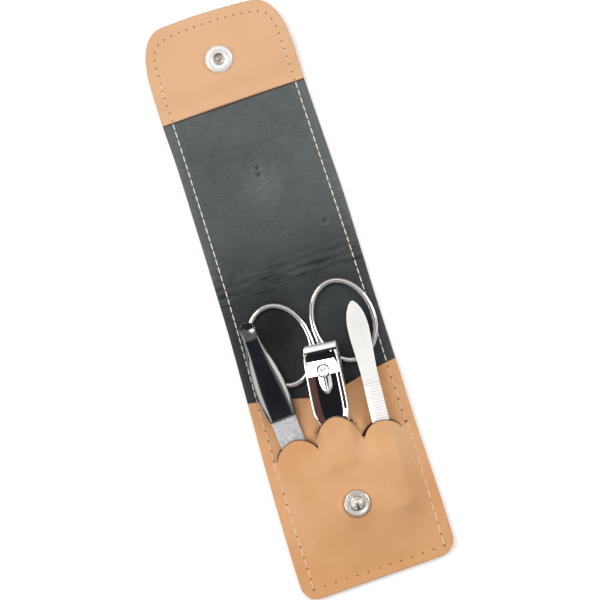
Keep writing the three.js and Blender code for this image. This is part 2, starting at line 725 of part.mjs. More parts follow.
// Nail file: a flat blade with its tang in a bevelled plastic handle
function buildFile() {
	const group = toolGroup(fileOrigin.x, fileOrigin.y, fileHeadHeight, fileTurn, fileTilt);
	const half = handleWidth / 2;
	const stationShares = [
		{ along: 0, width: 0.18, face: 0.12, top: 0.15, bottom: 0.35 },
		{ along: 0.012, width: 0.34, face: 0.26, top: 0.22, bottom: 0.6 },
		{ along: 0.035, width: 0.45, face: 0.37, top: 0.26, bottom: 0.8 },
		{ along: 0.075, width: 0.51, face: 0.44, top: 0.38, bottom: 0.95 },
		{ along: 0.12, width: 0.52, face: 0.46, top: 0.62, bottom: 1 },
		{ along: 0.17, width: 0.53, face: 0.45, top: 0.9, bottom: 1 },
		{ along: 0.24, width: 0.58, face: 0.46, top: 1, bottom: 1 },
		{ along: 0.36, width: 0.74, face: 0.49, top: 1, bottom: 1 },
		{ along: 0.5, width: 0.88, face: 0.53, top: 1, bottom: 1 },
		{ along: 0.62, width: 0.97, face: 0.6, top: 1, bottom: 1 },
		{ along: 0.74, width: 1, face: 0.67, top: 1, bottom: 1 },
		{ along: 0.88, width: 0.98, face: 0.72, top: 1, bottom: 1 },
		{ along: 1, width: 0.91, face: 0.73, top: 0.95, bottom: 0.95 },
	];
	const edgeShare = 0.4;
	const rings = stationShares.map(({ along, width, face, top, bottom }) => {
		const y = -along * handleLength;
		const side = [
			[face * half, top * handleHalf],
			[width * half, top * handleHalf * edgeShare],
			[width * half, -bottom * handleHalf * edgeShare],
			[face * half, -bottom * handleHalf],
		];
		const other = [...side].reverse().map(([x, z]) => [-x, z]);
		return [...side, ...other].map(([x, z]) => new THREE.Vector3(x, y, z));
	});
	const slotLength = tangLength + clearance;
	const slot = block(
		tangWidth + 2 * clearance, slotLength + cutOverrun, bladeThickness + 2 * fitGap,
		0, -handleLength + slotLength - (slotLength + cutOverrun) / 2, 0);
	addPiece(group, 'file_handle', loft(rings).subtract(slot), gloss);

	const shoulder = handleLength + fitGap;
	const plan = bladeShape([
		[handleLength - tangLength, tangWidth / 2], [shoulder, tangWidth / 2], [shoulder, bladeWidth / 2],
		[shoulder + bladeLength * 0.5, bladeWidth * 0.48], [shoulder + bladeLength * 0.72, bladeWidth * 0.4],
		[shoulder + bladeLength * 0.88, bladeWidth * 0.25], [shoulder + bladeLength * 0.96, bladeWidth * 0.13],
		[shoulder + bladeLength - fitGap, bladeWidth * 0.04],
	]);
	addPiece(group, 'file_blade', prism(plan, -bladeThickness / 2, bladeThickness / 2), grit);
}

// A round rod bent into an ellipse
function bowRing(centreX, centreY) {
	const around = 44;
	const sides = 8;
	const points = [];
	const index = [];
	for (let i = 0; i < around; i++) {
		const angle = 2 * Math.PI * i / around;
		const middle = new THREE.Vector3(
			centreX + bowWidth / 2 * Math.cos(angle), centreY + bowLength / 2 * Math.sin(angle), 0);
		const outward = new THREE.Vector3(bowLength * Math.cos(angle), bowWidth * Math.sin(angle), 0).normalize();
		for (let j = 0; j < sides; j++) {
			const turn = 2 * Math.PI * (j + 0.5) / sides;
			const point = middle.clone().addScaledVector(outward, rodRadius * Math.cos(turn));
			point.z += rodRadius * Math.sin(turn);
			points.push(point);
			const next = (i + 1) % around;
			const beside = (j + 1) % sides;
			index.push(i * sides + j, next * sides + j, next * sides + beside);
			index.push(i * sides + j, next * sides + beside, i * sides + beside);
		}
	}
	const geometry = new THREE.BufferGeometry().setFromPoints(points);
	geometry.setIndex(index);
	return solidFrom(geometry);
}

// One half: bow, shank and a thin plate that carries the pivot and the blade. side is 1 for the right bow,
// whose plate is the upper one and whose blade is on the left.
function scissorsHalf(side) {
	const plateEnd = pivotPlateRadius * 2.4;
	const shankTop = bowCentreUp;
	const shankX = bowCentreAcross - bowWidth / 2;
	const stations = [
		{ y: shankTop, x: shankX, half: rodRadius * 0.98 },
		{ y: mix(plateEnd, shankTop, 0.5), x: shankX + rodRadius * 0.3, half: rodRadius * 1.15 },
		{ y: plateEnd, x: shankX + rodRadius * 0.75, half: rodRadius * 1.6 },
	];
	const cornerShare = 0.6;
	const rings = stations.map(({ y, x, half }) => {
		const thick = rodRadius * 0.98;
		const outlineShares = [[1, cornerShare], [cornerShare, 1], [-cornerShare, 1], [-1, cornerShare],
			[-1, -cornerShare], [-cornerShare, -1], [cornerShare, -1], [1, -cornerShare]];
		return outlineShares.map(([u, v]) => new THREE.Vector3(x + u * half, y, v * thick));
	});
	const last = stations[stations.length - 1];
	const plan = new THREE.Shape();
	const bladeHalf = pivotPlateRadius * 0.8;
	plan.moveTo(last.x - last.half, plateEnd + fitGap);
	plan.lineTo(last.x + last.half, plateEnd + fitGap);
	plan.quadraticCurveTo(pivotPlateRadius * 1.1, pivotPlateRadius, pivotPlateRadius, 0);
	plan.quadraticCurveTo(pivotPlateRadius * 0.9, -pivotPlateRadius, rodRadius * 0.7, -pivotPlateRadius * 1.5);
	plan.lineTo(rodRadius * 0.3, -scissorsBladeLength);
	plan.quadraticCurveTo(-bladeHalf * 0.9, -scissorsBladeLength * 0.6, -bladeHalf, -pivotPlateRadius * 1.4);
	plan.lineTo(-pivotPlateRadius, 0);
	plan.quadraticCurveTo(-pivotPlateRadius * 0.8, pivotPlateRadius, last.x - last.half, plateEnd + fitGap);
	const low = fitGap;
	const high = fitGap + bladePlateThickness;
	let half = bowRing(bowCentreAcross, bowCentreUp).add(loft(rings)).add(prism(plan, low, high));
	half = half.subtract(disc(screwRadius + fitGap, -cutOverrun, cutOverrun));
	const sinkFloor = high - screwHeadThickness - fitGap;
	half = half.subtract(disc(screwHeadRadius + fitGap, sinkFloor, high + cutOverrun));
	if (side < 0) half = half.rotate([0, 180, 0]);
	return half;
}

function buildScissors() {
	const group = toolGroup(scissorsOrigin.x, scissorsOrigin.y, scissorsMidZ, scissorsTurn, 0);
	addPiece(group, 'scissors_right_half', scissorsHalf(1), steel);
	addPiece(group, 'scissors_left_half', scissorsHalf(-1), steel);
	const top = fitGap + bladePlateThickness;
	const head = top - screwHeadThickness;
	const screw = turned([
		[0, -top], [screwHeadRadius, -top], [screwHeadRadius, -head], [screwRadius, -head],
		[screwRadius, head], [screwHeadRadius, head], [screwHeadRadius, top], [0, top],
	], 0, 0, 28);
	addPiece(group, 'scissors_screw', screw, steel);
}

// A sprung strip: its side outline swept across, cut to its plan
function strip(plan, upper, lower, from, to, steps, halfWidth) {
	const downs = Array.from({ length: steps + 1 }, (_, i) => mix(from, to, i / steps));
	const side = [...downs.map((down) => [-down, lower(down)]),
		...[...downs].reverse().map((down) => [-down, upper(down)])];
	return across(side, halfWidth).intersect(prism(plan, -clipperWidth, clipperWidth));
}

function clipperArmPlan() {
	const half = clipperWidth / 2;
	const jaw = jawWidth / 2;
	const tail = clipperTailWidth / 2;
	const shape = new THREE.Shape();
	shape.moveTo(-jaw, 0);
	shape.quadraticCurveTo(0, -jaw * 0.25, jaw, 0);
	shape.lineTo(half, -jawRoundLength);
	shape.lineTo(half * 0.93, -clipperLength * 0.4);
	shape.lineTo(tail, -clipperLength + tail);
	shape.absarc(0, -clipperLength + tail, tail, 0, Math.PI, true);
	shape.lineTo(-half * 0.93, -clipperLength * 0.4);
	shape.lineTo(-half, -jawRoundLength);
	shape.closePath();
	return shape;
}

// Lever, stored upside down: a channel of sheet with its flanges up, a window, a rounded bar and a tongue
function buildLever() {
	const half = leverWidth / 2;
	const reach = half + cutOverrun;
	const widthShares = [[0, 0.92], [0.06, 0.96], [0.16, 0.99], [0.3, 1], [0.46, 1], [0.56, 0.97], [0.61, 0.88],
		[0.66, 0.76], [0.84, 0.68], [0.95, 0.57], [1, 0.4]];
	const downAt = (share) => mix(leverFromJaw, leverEndFromJaw, share);
	const plan = bladeShape(widthShares.map(([along, width]) => [downAt(along), width * half]));
	const inner = widthShares.map(([along, width]) => [downAt(along), width * half - leverFlangeWidth]);
	const innerPlan = bladeShape([
		[leverFromJaw - cutOverrun, inner[0][1]], ...inner.slice(1, -2),
		[leverEndFromJaw + cutOverrun, inner[widthShares.length - 3][1]],
	]);
	const barHeight = 0.5 * leverThickness;
	const barMiddle = pinFromJaw - leverBarFromPin;
	const plateTop = (down) => {
		const barShare = clamp01(1 - ((down - barMiddle) / (leverBarLength / 2)) ** 2);
		return leverBottom(down) + leverThickness + barHeight * Math.sqrt(barShare);
	};
	const body = strip(plan, leverTop, leverBottom, leverFromJaw, leverEndFromJaw, 22, reach);
	const above = () => clipperWidth / 2;
	const channel = strip(
		innerPlan, above, plateTop, leverFromJaw - cutOverrun, leverEndFromJaw + cutOverrun, 44, reach);
	const window = block(
		2 * (inner[0][1] - fitGap), leverWindowLength, clipperWidth,
		0, -leverFromJaw - leverWindowBorder - leverWindowLength / 2, 0);
	const tongue = new THREE.Shape();
	const start = pinFromJaw + pinRadius * 0.6;
	const end = start + leverTongueLength;
	const side = leverTongueWidth / 2;
	tongue.moveTo(-side, -start);
	tongue.quadraticCurveTo(-side, -mix(start, end, 0.7), -side * 0.15, -end);
	tongue.lineTo(side * 0.15, -end);
	tongue.quadraticCurveTo(side, -mix(start, end, 0.7), side, -start);
	tongue.closePath();
	const plate = leverBottom(end);
	const raised = prism(tongue, plate + fitGap, leverBottom(start) + leverThickness + leverTongueHeight);
	const pinHole = disc(pinRadius + fitGap, -clipperWidth, clipperWidth, 0, -pinFromJaw);
	return body.subtract(channel).subtract(window).add(raised).subtract(pinHole);
}

function buildClipper() {
	const group = toolGroup(clipperOrigin.x, clipperOrigin.y, clipperMidZ, clipperTurn, 0, clipperRoll);
	const rivetY = -clipperLength + clipperRivetFromTail;
	const reach = clipperWidth;
	const rivetHole = disc(rivetRadius + fitGap, -reach, reach, 0, rivetY);
	const pinHole = disc(pinRadius + clearance, -reach, reach, 0, -pinFromJaw);
	const negative = (side) => (down) => -side(down);
	const upper = strip(clipperArmPlan(), clipperOuter, clipperInner, 0, clipperLength, 40, reach);
	const lower = strip(
		clipperArmPlan(), negative(clipperInner), negative(clipperOuter), 0, clipperLength, 40, reach);
	addPiece(group, 'clipper_upper_arm', upper.subtract(rivetHole).subtract(pinHole), steel);
	addPiece(group, 'clipper_lower_arm', lower.subtract(rivetHole).subtract(pinHole), steel);

	const seat = 2 * fitGap + clipperArmThickness;
	const top = seat + rivetHeadThickness;
	const rivet = turned([
		[0, -top], [rivetHeadRadius * 0.7, -top], [rivetHeadRadius, -seat], [rivetRadius, -seat],
		[rivetRadius, seat], [rivetHeadRadius, seat], [rivetHeadRadius * 0.7, top], [0, top],
	], 0, rivetY, 24);
	addPiece(group, 'clipper_rivet', rivet, steel);

	const headTop = -clipperHalfHeight - fitGap;
	const headBottom = headTop - pinHeadThickness;
	const pinTop = leverBottom(pinFromJaw) + leverFlangeHeight;
	const pin = turned([
		[0, headBottom], [pinHeadRadius * 0.85, headBottom], [pinHeadRadius, headTop], [pinRadius, headTop],
		[pinRadius, pinTop - fitGap], [pinRadius - fitGap, pinTop], [0, pinTop],
	], 0, -pinFromJaw, 28);
	const notch = block(
		2 * pinRadius + cutOverrun, pinNotchWidth, 2 * pinNotchDepth, 0, -pinFromJaw, pinTop);
	addPiece(group, 'clipper_pin', pin.subtract(notch), steel);
	addPiece(group, 'clipper_lever', buildLever(), steel);
}

// Tweezers: two arms welded to a spacer at the leaf-shaped head, and free at the tips
function buildTweezers() {
	const group = toolGroup(
		tweezersOrigin.x, tweezersOrigin.y, tweezersHeadHeight, tweezersTurn, tweezersTilt);
	const leaf = tweezersLeafWidth / 2;
	const grip = tweezersGripWidth / 2;
	const tip = tweezersTipWidth / 2;
	const stationShares = [[0, 0.06], [0.006, 0.24], [0.022, 0.47], [0.05, 0.74], [0.09, 0.93], [0.135, 1],
		[0.19, 0.98], [0.25, 0.9], [0.33, 0.79], [0.4, 0.72]];
	const plan = bladeShape([
		...stationShares.map(([along, width]) => [along * tweezersLength, width * leaf]),
		[0.42 * tweezersLength, grip], [0.6 * tweezersLength, grip], [0.9 * tweezersLength, tip * 1.25],
		[tweezersLength, tip],
	]);
	const inner = tweezersInner;
	const outer = (down) => tweezersInner(down) + tweezersArmThickness;
	const negative = (side) => (down) => -side(down);
	const reach = tweezersLeafWidth;
	const upper = strip(plan, outer, inner, 0, tweezersLength, 28, reach);
	const lower = strip(plan, negative(inner), negative(outer), 0, tweezersLength, 28, reach);
	addPiece(group, 'tweezers_upper_arm', upper, steel);
	addPiece(group, 'tweezers_lower_arm', lower, steel);
	const padLength = spacerLength - 2 * clearance;
	const padY = -spacerLength / 2 - tweezersArmThickness;
	const pad = block(spacerWidth, padLength, spacerThickness, 0, padY, 0);
	addPiece(group, 'tweezers_spacer', pad, steel);
}

buildLeather();
addPiece(root, 'pocket_panel', buildPocketPanel(), tan);
buildSnap();
buildFile();
buildScissors();
buildClipper();
buildTweezers();

export default root;
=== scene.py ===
# Manicure set case, lying open and flat with its four tools in the pocket.
# Sizes are in millimetres and become metres where a mesh is made. The shapes repeat the CAD's own formulas.

import math
import random

import bmesh
import bpy
import numpy as np
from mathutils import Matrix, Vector


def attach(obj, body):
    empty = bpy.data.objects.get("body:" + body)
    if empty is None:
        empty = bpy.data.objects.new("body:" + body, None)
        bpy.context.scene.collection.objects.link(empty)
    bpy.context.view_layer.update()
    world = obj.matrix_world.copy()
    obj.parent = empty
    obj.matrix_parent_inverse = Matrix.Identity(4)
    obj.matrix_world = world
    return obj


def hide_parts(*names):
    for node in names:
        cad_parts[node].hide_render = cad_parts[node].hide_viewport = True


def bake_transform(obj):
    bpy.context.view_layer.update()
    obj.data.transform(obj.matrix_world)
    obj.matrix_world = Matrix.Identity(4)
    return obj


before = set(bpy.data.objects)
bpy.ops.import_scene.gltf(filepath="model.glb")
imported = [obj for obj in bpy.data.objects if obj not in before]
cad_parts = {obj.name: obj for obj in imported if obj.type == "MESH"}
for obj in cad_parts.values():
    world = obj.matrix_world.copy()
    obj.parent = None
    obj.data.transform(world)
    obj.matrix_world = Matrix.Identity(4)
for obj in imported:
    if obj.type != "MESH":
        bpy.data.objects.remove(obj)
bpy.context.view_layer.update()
random.seed(8)
MM = 0.001

# Leather, as in the CAD
OUTER, LINING, PANEL, FACING = 1.0, 0.6, 0.9, 0.9
LINING_TOP = OUTER + LINING
TOP, BOTTOM = 118.7, -118.7
LOWER_CREASE, UPPER_CREASE, CREASE_Z = 1.2, 11.7, 2.9
MID_SPINE = (LOWER_CREASE + UPPER_CREASE) / 2
FACING_EDGE, FACING_SLANT = 80.9, 0.031
FLAP_RISE, RISE_FROM, RISE_LENGTH = 1.2, 2.6, 9.4
SNAP_X, STUD_Y, SOCKET_Y = -0.6, -86.4, 99.3
STUD_SEAT, SEAT_RADIUS, SOCKET_HOLE = 9.8, 5.5, 4.6
GAP, FIT = 0.3, 0.15
EDGE_ROUND, FREE_HALF = 0.3, 29
PANEL_LENGTH, PANEL_DIP, DIP_HALF, DIP_POWER = 83, 6.6, 31, 1.25

# Left and right edges of the open case, as [Y, X]
LEFT_SIDE = ((-119, -32.1), (-105, -32.3), (-85, -32.1), (-62, -31.6), (-40, -30.8), (-22, -30.2),
             (-8, -29.75), (10, -29.6), (40, -29.5), (66, -29.6), (82, -30.15), (93, -30.1), (119, -30.0))
RIGHT_SIDE = ((-119, 31.9), (-105, 32.1), (-85, 31.85), (-62, 31.35), (-40, 31.3), (-22, 31.15),
              (-8, 31.05), (10, 31.1), (35, 31.1), (52, 30.6), (68, 30.1), (82, 29.7), (93, 29.65),
              (119, 29.55))
CORNER_X, BOTTOM_SLANT = 25.6, 0.95
TOP_CROWN, TOP_HALF, TOP_CORNER_DROP = 0.75, 19, 0.67

# Corners as width, length and the power of their curve
BOTTOM_CORNER, TOP_CORNER = (6.5, 6.5, 2.0), (12.0, 24.0, 2.4)

# Where the tools lie, as in the CAD: the head's place, and how the tool is turned, tilted and rolled
FILE = dict(x=-22.2, y=-4.3, z=8.2, turn=4.7, tilt=2.9, roll=0.0)
SCISSORS = dict(x=5.7, y=-58.0, z=3.05, turn=4.7, tilt=0.0, roll=0.0)
CLIPPER = dict(x=4.0, y=-21.1, z=8.0, turn=-6.0, tilt=0.0, roll=-10.0)
TWEEZERS = dict(x=21.3, y=-8.7, z=7.8, turn=-3.75, tilt=1.2, roll=0.0)
HANDLE_LENGTH, HANDLE_HALF, HANDLE_THICK = 41.4, 6.4, 2.0
BLADE_LENGTH, BLADE_WIDTH, BLADE_THICK = 52.0, 10.2, 0.6
SCISSORS_TOP, SCISSORS_TIP_Y = 4.2, -91
CLIPPER_LENGTH, JAW_LENGTH, HALF_HEIGHT, ARM = 54.0, 3.4, 2.3, 1.3
JAW_EDGE, JAW_CURVE_FROM, JAW_CURVE_TO = 0.9, 0.65, 2.08
PIN_DOWN, LEVER_END, LEVER_LIFT, LEVER_PLATE, LEVER_WALLS = 10.9, 47.5, 1.3, 0.9, 1.9
TWEEZERS_LENGTH, TWEEZERS_ARM, SPACER_DOWN = 84.0, 0.9, 11.8
SPACER_HALF, BELLY_HALF, TIP_HALF = 0.25, 2.0, 0.9

# Pocket: lobes as [centre, half width, slit's ends above the bottom, height of the arch]
LOBES = np.array([(-17.2, 9.0, 57.7, 6.0), (0.1, 8.0, 62.6, 5.6), (17.0, 8.4, 56.7, 4.7)])
LOBE_GAP, JUNCTION_LIFT = 0.35, 6.3
SEAM_LEFT, SEAM_RIGHT, HEM, HEM_SLANT = 27.4, 27.6, BOTTOM + 5.2, 0.018


def ease(low, high, value):
    """0 on low's side, 1 on high's side and a smooth change between them."""
    share = np.clip((np.asarray(value, float) - low) / (high - low), 0, 1)
    return share * share * (3 - 2 * share)


def mix(a, b, share):
    return a + (b - a) * share


def hill(distance, width):
    """A smooth hill that is 1 high at distance 0."""
    return np.exp(-(distance / width) ** 2)


def hermite(a, b, slope_a, slope_b, length, t):
    """From a to b with a given slope at each, at a share t of the length."""
    return ((2 * t ** 3 - 3 * t * t + 1) * a + (t ** 3 - 2 * t * t + t) * length * slope_a
            + (-2 * t ** 3 + 3 * t * t) * b + (t ** 3 - t * t) * length * slope_b)


def smooth_table(table, at):
    """Values of a table of rows, keyed by the first column, eased between the rows."""
    table = np.array(table, float)
    keys = table[:, 0]
    i = int(np.clip(np.searchsorted(keys, at) - 1, 0, len(keys) - 2))
    before, after = max(i - 1, 0), min(i + 2, len(keys) - 1)
    slope_a = (table[i + 1] - table[before]) / (keys[i + 1] - keys[before])
    slope_b = (table[after] - table[i]) / (keys[after] - keys[i])
    length = keys[i + 1] - keys[i]
    return hermite(table[i], table[i + 1], slope_a, slope_b, length, (at - keys[i]) / length)[1:]


def table_plan(table):
    """A function of many places that reads the second column of a table."""
    return lambda places: np.array([smooth_table(table, at)[0] for at in places])


def waves(x, y, scale, seed):
    """Smooth noise from sums of sines, the same in every run."""
    rng = np.random.default_rng(seed)
    total = np.zeros(np.shape(x))
    for octave in range(3):
        size = scale / 1.9 ** octave
        for _ in range(5):
            angle, phase = rng.uniform(0, 2 * math.pi, 2)
            along = x * math.cos(angle) + y * math.sin(angle)
            total += np.sin(along * 2 * math.pi / size + phase) / 2 ** octave
    return total / 8


# Pieces
def new_object(name, data):
    made = bpy.data.objects.new(name, data)
    bpy.context.scene.collection.objects.link(made)
    return made


def shade_smooth(mesh):
    mesh.polygons.foreach_set("use_smooth", [True] * len(mesh.polygons))


def make(name, points, faces):
    mesh = bpy.data.meshes.new(name)
    mesh.from_pydata([tuple(float(c) * MM for c in p) for p in points], [], faces)
    mesh.update()
    shade_smooth(mesh)
    return new_object(name, mesh)


def vertex_places(piece):
    return np.array([v.co for v in piece.data.vertices]).T / MM


def mark(piece, name, values):
    layer = piece.data.attributes.new(name, "FLOAT", "POINT")
    layer.data.foreach_set("value", np.asarray(values, np.float32))


def paint(piece, material):
    piece.data.materials.clear()
    piece.data.materials.append(material)
    return piece


def dress(piece, material, body, node=None):
    """Gives a piece its material, its body and the CAD node that it stands for."""
    paint(piece, material)
    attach(piece, body)
    if node:
        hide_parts(node)
    return piece


def clean(piece, angle):
    """Merges doubled points, turns faces outwards and keeps edges over the angle sharp."""
    work = bmesh.new()
    work.from_mesh(piece.data)
    bmesh.ops.remove_doubles(work, verts=work.verts, dist=1e-6)
    bmesh.ops.recalc_face_normals(work, faces=work.faces)
    work.to_mesh(piece.data)
    work.free()
    shade_smooth(piece.data)
    piece.data.set_sharp_from_angle(angle=math.radians(angle))
    return piece


def ring_faces(rings, around, first=0):
    """Faces that join each ring of points to the next, where the first ring starts at point first."""
    faces = []
    for j in range(rings - 1):
        for k in range(around):
            a = first + j * around + k
            b = first + j * around + (k + 1) % around
            faces.append((a, b, b + around, a + around))
    return faces


def circle(count):
    return [2 * math.pi * k / count for k in range(count)]


def grid_solid(name, top, under, cut, angle=50):
    """A closed skin between two grids of points of the same size. Cells marked in cut are left open."""
    rows, columns = top.shape[:2]
    points = np.concatenate([top.reshape(-1, 3), under.reshape(-1, 3)])
    base = rows * columns
    solid = np.zeros((rows + 1, columns + 1), bool)
    solid[1:-1, 1:-1] = ~cut
    faces = []
    for j, i in np.argwhere(~cut).tolist():
        a, b = j * columns + i, (j + 1) * columns + i
        faces.append((a, a + 1, b + 1, b))
        faces.append((base + a, base + b, base + b + 1, base + a + 1))
        walls = ((solid[j, i + 1], a, a + 1), (solid[j + 2, i + 1], b + 1, b),
                 (solid[j + 1, i], b, a), (solid[j + 1, i + 2], a + 1, b + 1))
        faces += [(q, p, base + p, base + q) for beside, p, q in walls if not beside]
    piece = make(name, points, faces)
    piece.data.set_sharp_from_angle(angle=math.radians(angle))
    return piece


def in_tool(tool, points):
    """From a tool's own frame, head at zero and running down -Y, to the row frame."""
    turn, tilt, roll = (math.radians(tool[k]) for k in ("turn", "tilt", "roll"))
    p = np.asarray(points, float)
    y = p[..., 1] * math.cos(tilt) - p[..., 2] * math.sin(tilt)
    z = p[..., 1] * math.sin(tilt) + p[..., 2] * math.cos(tilt)
    x = p[..., 0] * math.cos(roll) + z * math.sin(roll)
    z = z * math.cos(roll) - p[..., 0] * math.sin(roll)
    return np.stack([x * math.cos(turn) - y * math.sin(turn) + tool["x"],
                     x * math.sin(turn) + y * math.cos(turn) + tool["y"], z + tool["z"]], axis=-1)


def lathe(name, profile, x, y, segments=96, tool=None, carve=None, angle=40):
    """A profile of [radius, height] turned about the upright axis at x, y, in the row frame or a tool's.
    carve says how far to lower a point."""
    points = []
    for r, z in profile:
        for turn in circle(segments):
            dx, dy = r * math.cos(turn), r * math.sin(turn)
            points.append((x + dx, y + dy, z - carve(dx, dy, z) if carve else z))
    points = in_tool(tool, points) if tool else points
    return clean(make(name, points, ring_faces(len(profile), segments)), angle)


def loft(name, tool, rings, angle):
    """A closed skin over rings of points in a tool's own frame."""
    around = len(rings[0])
    points = in_tool(tool, np.concatenate([np.asarray(ring, float) for ring in rings]))
    last = (len(rings) - 1) * around
    ends = [tuple(range(around)), tuple(range(last, last + around))]
    return clean(make(name, points, ring_faces(len(rings), around) + ends), angle)


def corner(before, here, after, radius, most, steps):
    """Points of a rounded corner, which takes at most a share of the lines beside it."""
    a, p, b = (np.array(place, float) for place in (before, here, after))
    la, lb = (max(np.linalg.norm(end - p), 1e-9) for end in (a, b))
    r = min(radius, most * la, most * lb)
    start, end = p + (a - p) / la * r, p + (b - p) / lb * r
    return [(1 - t) ** 2 * start + 2 * t * (1 - t) * p + t * t * end for t in np.linspace(0, 1, steps + 1)]


def rounded(profile, radius, steps=4):
    """The same open profile with its inner corners rounded."""
    out = [profile[0]]
    for places in zip(profile, profile[1:], profile[2:]):
        out += corner(*places, radius, 0.45, steps)
    return out + [profile[-1]]


def round_section(section, radius, steps):
    """A closed outline with its corners rounded."""
    out = []
    for k, here in enumerate(section):
        out += corner(section[k - 1], here, section[(k + 1) % len(section)], radius, 0.42, steps)
    return out


def edge_shares(count):
    """Shares from -1 to 1 that lie closer together at both ends."""
    t = np.linspace(-1, 1, count)
    return np.sign(t) * (1 - (1 - np.abs(t)) ** 1.6)


def soften(distance, radius):
    """How far a rounded edge has dropped at a distance in from it."""
    inward = np.clip(distance / radius, 0, 1)
    return radius * (1 - np.sqrt(1 - (1 - inward) ** 2))


def strip(name, tool, plan, top, under, length, step, across=41, cut=None, soft=0.16, angle=42,
          bands=None, rows=()):
    """A strip of sheet metal: half widths by distance, and its two faces as heights. cut names open cells.
    bands are distances in from the sides at which the cells have edges, rows the same along the length."""
    ends = np.array([0.0, 0.05, 0.15, 0.3])
    downs = np.unique(np.concatenate([np.linspace(0, length, int(length / step)), ends, length - ends, rows]))
    halves = plan(downs)[:, None]
    if bands is None:
        X = edge_shares(across)[None, :] * halves
    else:
        inward = np.minimum(1, halves * 0.85 / bands[-1]) * np.array(bands)[None, :]
        middle = (halves - inward[:, -1:]) * np.linspace(-1, 1, across)[None, 1:-1]
        X = np.concatenate([inward - halves, middle, (halves - inward)[:, ::-1]], axis=1)
    D = np.repeat(downs[:, None], X.shape[1], axis=1)
    drop = soften(np.minimum(halves - np.abs(X), np.minimum(D, length - D)), soft)
    upper = np.stack([X, -D, top(X, D) - drop], axis=-1)
    lower = np.stack([X, -D, under(X, D) + drop], axis=-1)
    middle_x = (X[:-1, :-1] + X[:-1, 1:]) / 2
    middle_d = (D[:-1, :-1] + D[1:, :-1]) / 2
    open_cells = cut(middle_x, middle_d) if cut else np.zeros(middle_x.shape, bool)
    return grid_solid(name, in_tool(tool, upper), in_tool(tool, lower), open_cells, angle)


def softened(node, material, width):
    """Keeps a CAD node, with its own material and a small bevel on its sharp edges."""
    piece = paint(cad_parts[node], material)
    shade_smooth(piece.data)
    join = piece.modifiers.new("join", "WELD")
    join.merge_threshold = 0.004 * MM
    if width:
        bevel = piece.modifiers.new("bevel", "BEVEL")
        bevel.width = width * MM
        bevel.segments = 2
        bevel.limit_method = "ANGLE"
        bevel.angle_limit = math.radians(32)
        bevel.harden_normals = True
        bevel.use_clamp_overlap = True


# Outline of the open case
def along_side(table, y):
    """A side's X at Y: the table's places joined by smooth pieces."""
    ys, xs = np.array(table, float).T
    y = np.asarray(y, float)
    slopes = np.gradient(xs, ys)
    k = np.clip(np.searchsorted(ys, y) - 1, 0, len(ys) - 2)
    length = ys[k + 1] - ys[k]
    return hermite(xs[k], xs[k + 1], slopes[k], slopes[k + 1], length, np.clip((y - ys[k]) / length, 0, 1))


def left_side(y):
    return along_side(LEFT_SIDE, y)


def right_side(y):
    return along_side(RIGHT_SIDE, y)


def side_gap(x, y):
    return np.minimum(x - left_side(y), right_side(y) - x)


def bottom_edge(x):
    return BOTTOM + BOTTOM_SLANT * (1 + np.asarray(x, float) / CORNER_X)


def top_edge(x):
    return TOP - TOP_CROWN * np.clip(np.abs(np.asarray(x, float) + 0.2) / TOP_HALF, 0, 1) ** 2


def facing_edge(x):
    return FACING_EDGE + FACING_SLANT * np.asarray(x, float)


def panel_edge(x):
    """The pocket's free edge, which is highest at both sides."""
    return BOTTOM + PANEL_LENGTH - PANEL_DIP * (1 - np.clip(np.abs(x) / DIP_HALF, 0, 1)) ** DIP_POWER


def round_corners(x, y):
    """Moves points of the square-cornered outline so that its corners are round."""
    x, y = np.array(x, float), np.array(y, float)
    for high, (rx, ry, power) in ((False, BOTTOM_CORNER), (True, TOP_CORNER)):
        edge = np.where(x > 0, right_side(y), -left_side(y))
        side = (np.abs(x) - (edge - rx)) / rx
        if high:
            along = (y - (TOP - TOP_CORNER_DROP - ry)) / ry
        else:
            along = (bottom_edge(np.sign(x) * CORNER_X) + ry - y) / ry
        inside = (side > 0) & (along > 0)
        s, t = np.where(inside, side, 1.0), np.where(inside, along, 1.0)
        factor = np.maximum(s, t) / (np.abs(s) ** power + np.abs(t) ** power) ** (1 / power)
        shift_x = (s * factor - s) * rx * np.sign(x)
        shift_y = (t * factor - t) * ry * (1 if high else -1)
        x, y = np.where(inside, x + shift_x, x), np.where(inside, y + shift_y, y)
    return x, y


def cover_rise(y):
    start = FACING_EDGE + RISE_FROM
    return FLAP_RISE * ease(start, start + RISE_LENGTH, y)


def free_middle(x):
    """1 in the middle of the case and 0 where the stitches hold its sides."""
    return np.clip(1 - (x / FREE_HALF) ** 2, 0, 1)


def edge_darkening(gap, start, width, full=1.0):
    """How much of an edge's colour is left at a distance in from the edge."""
    return np.clip(full - (gap - start) / width, 0, 1)


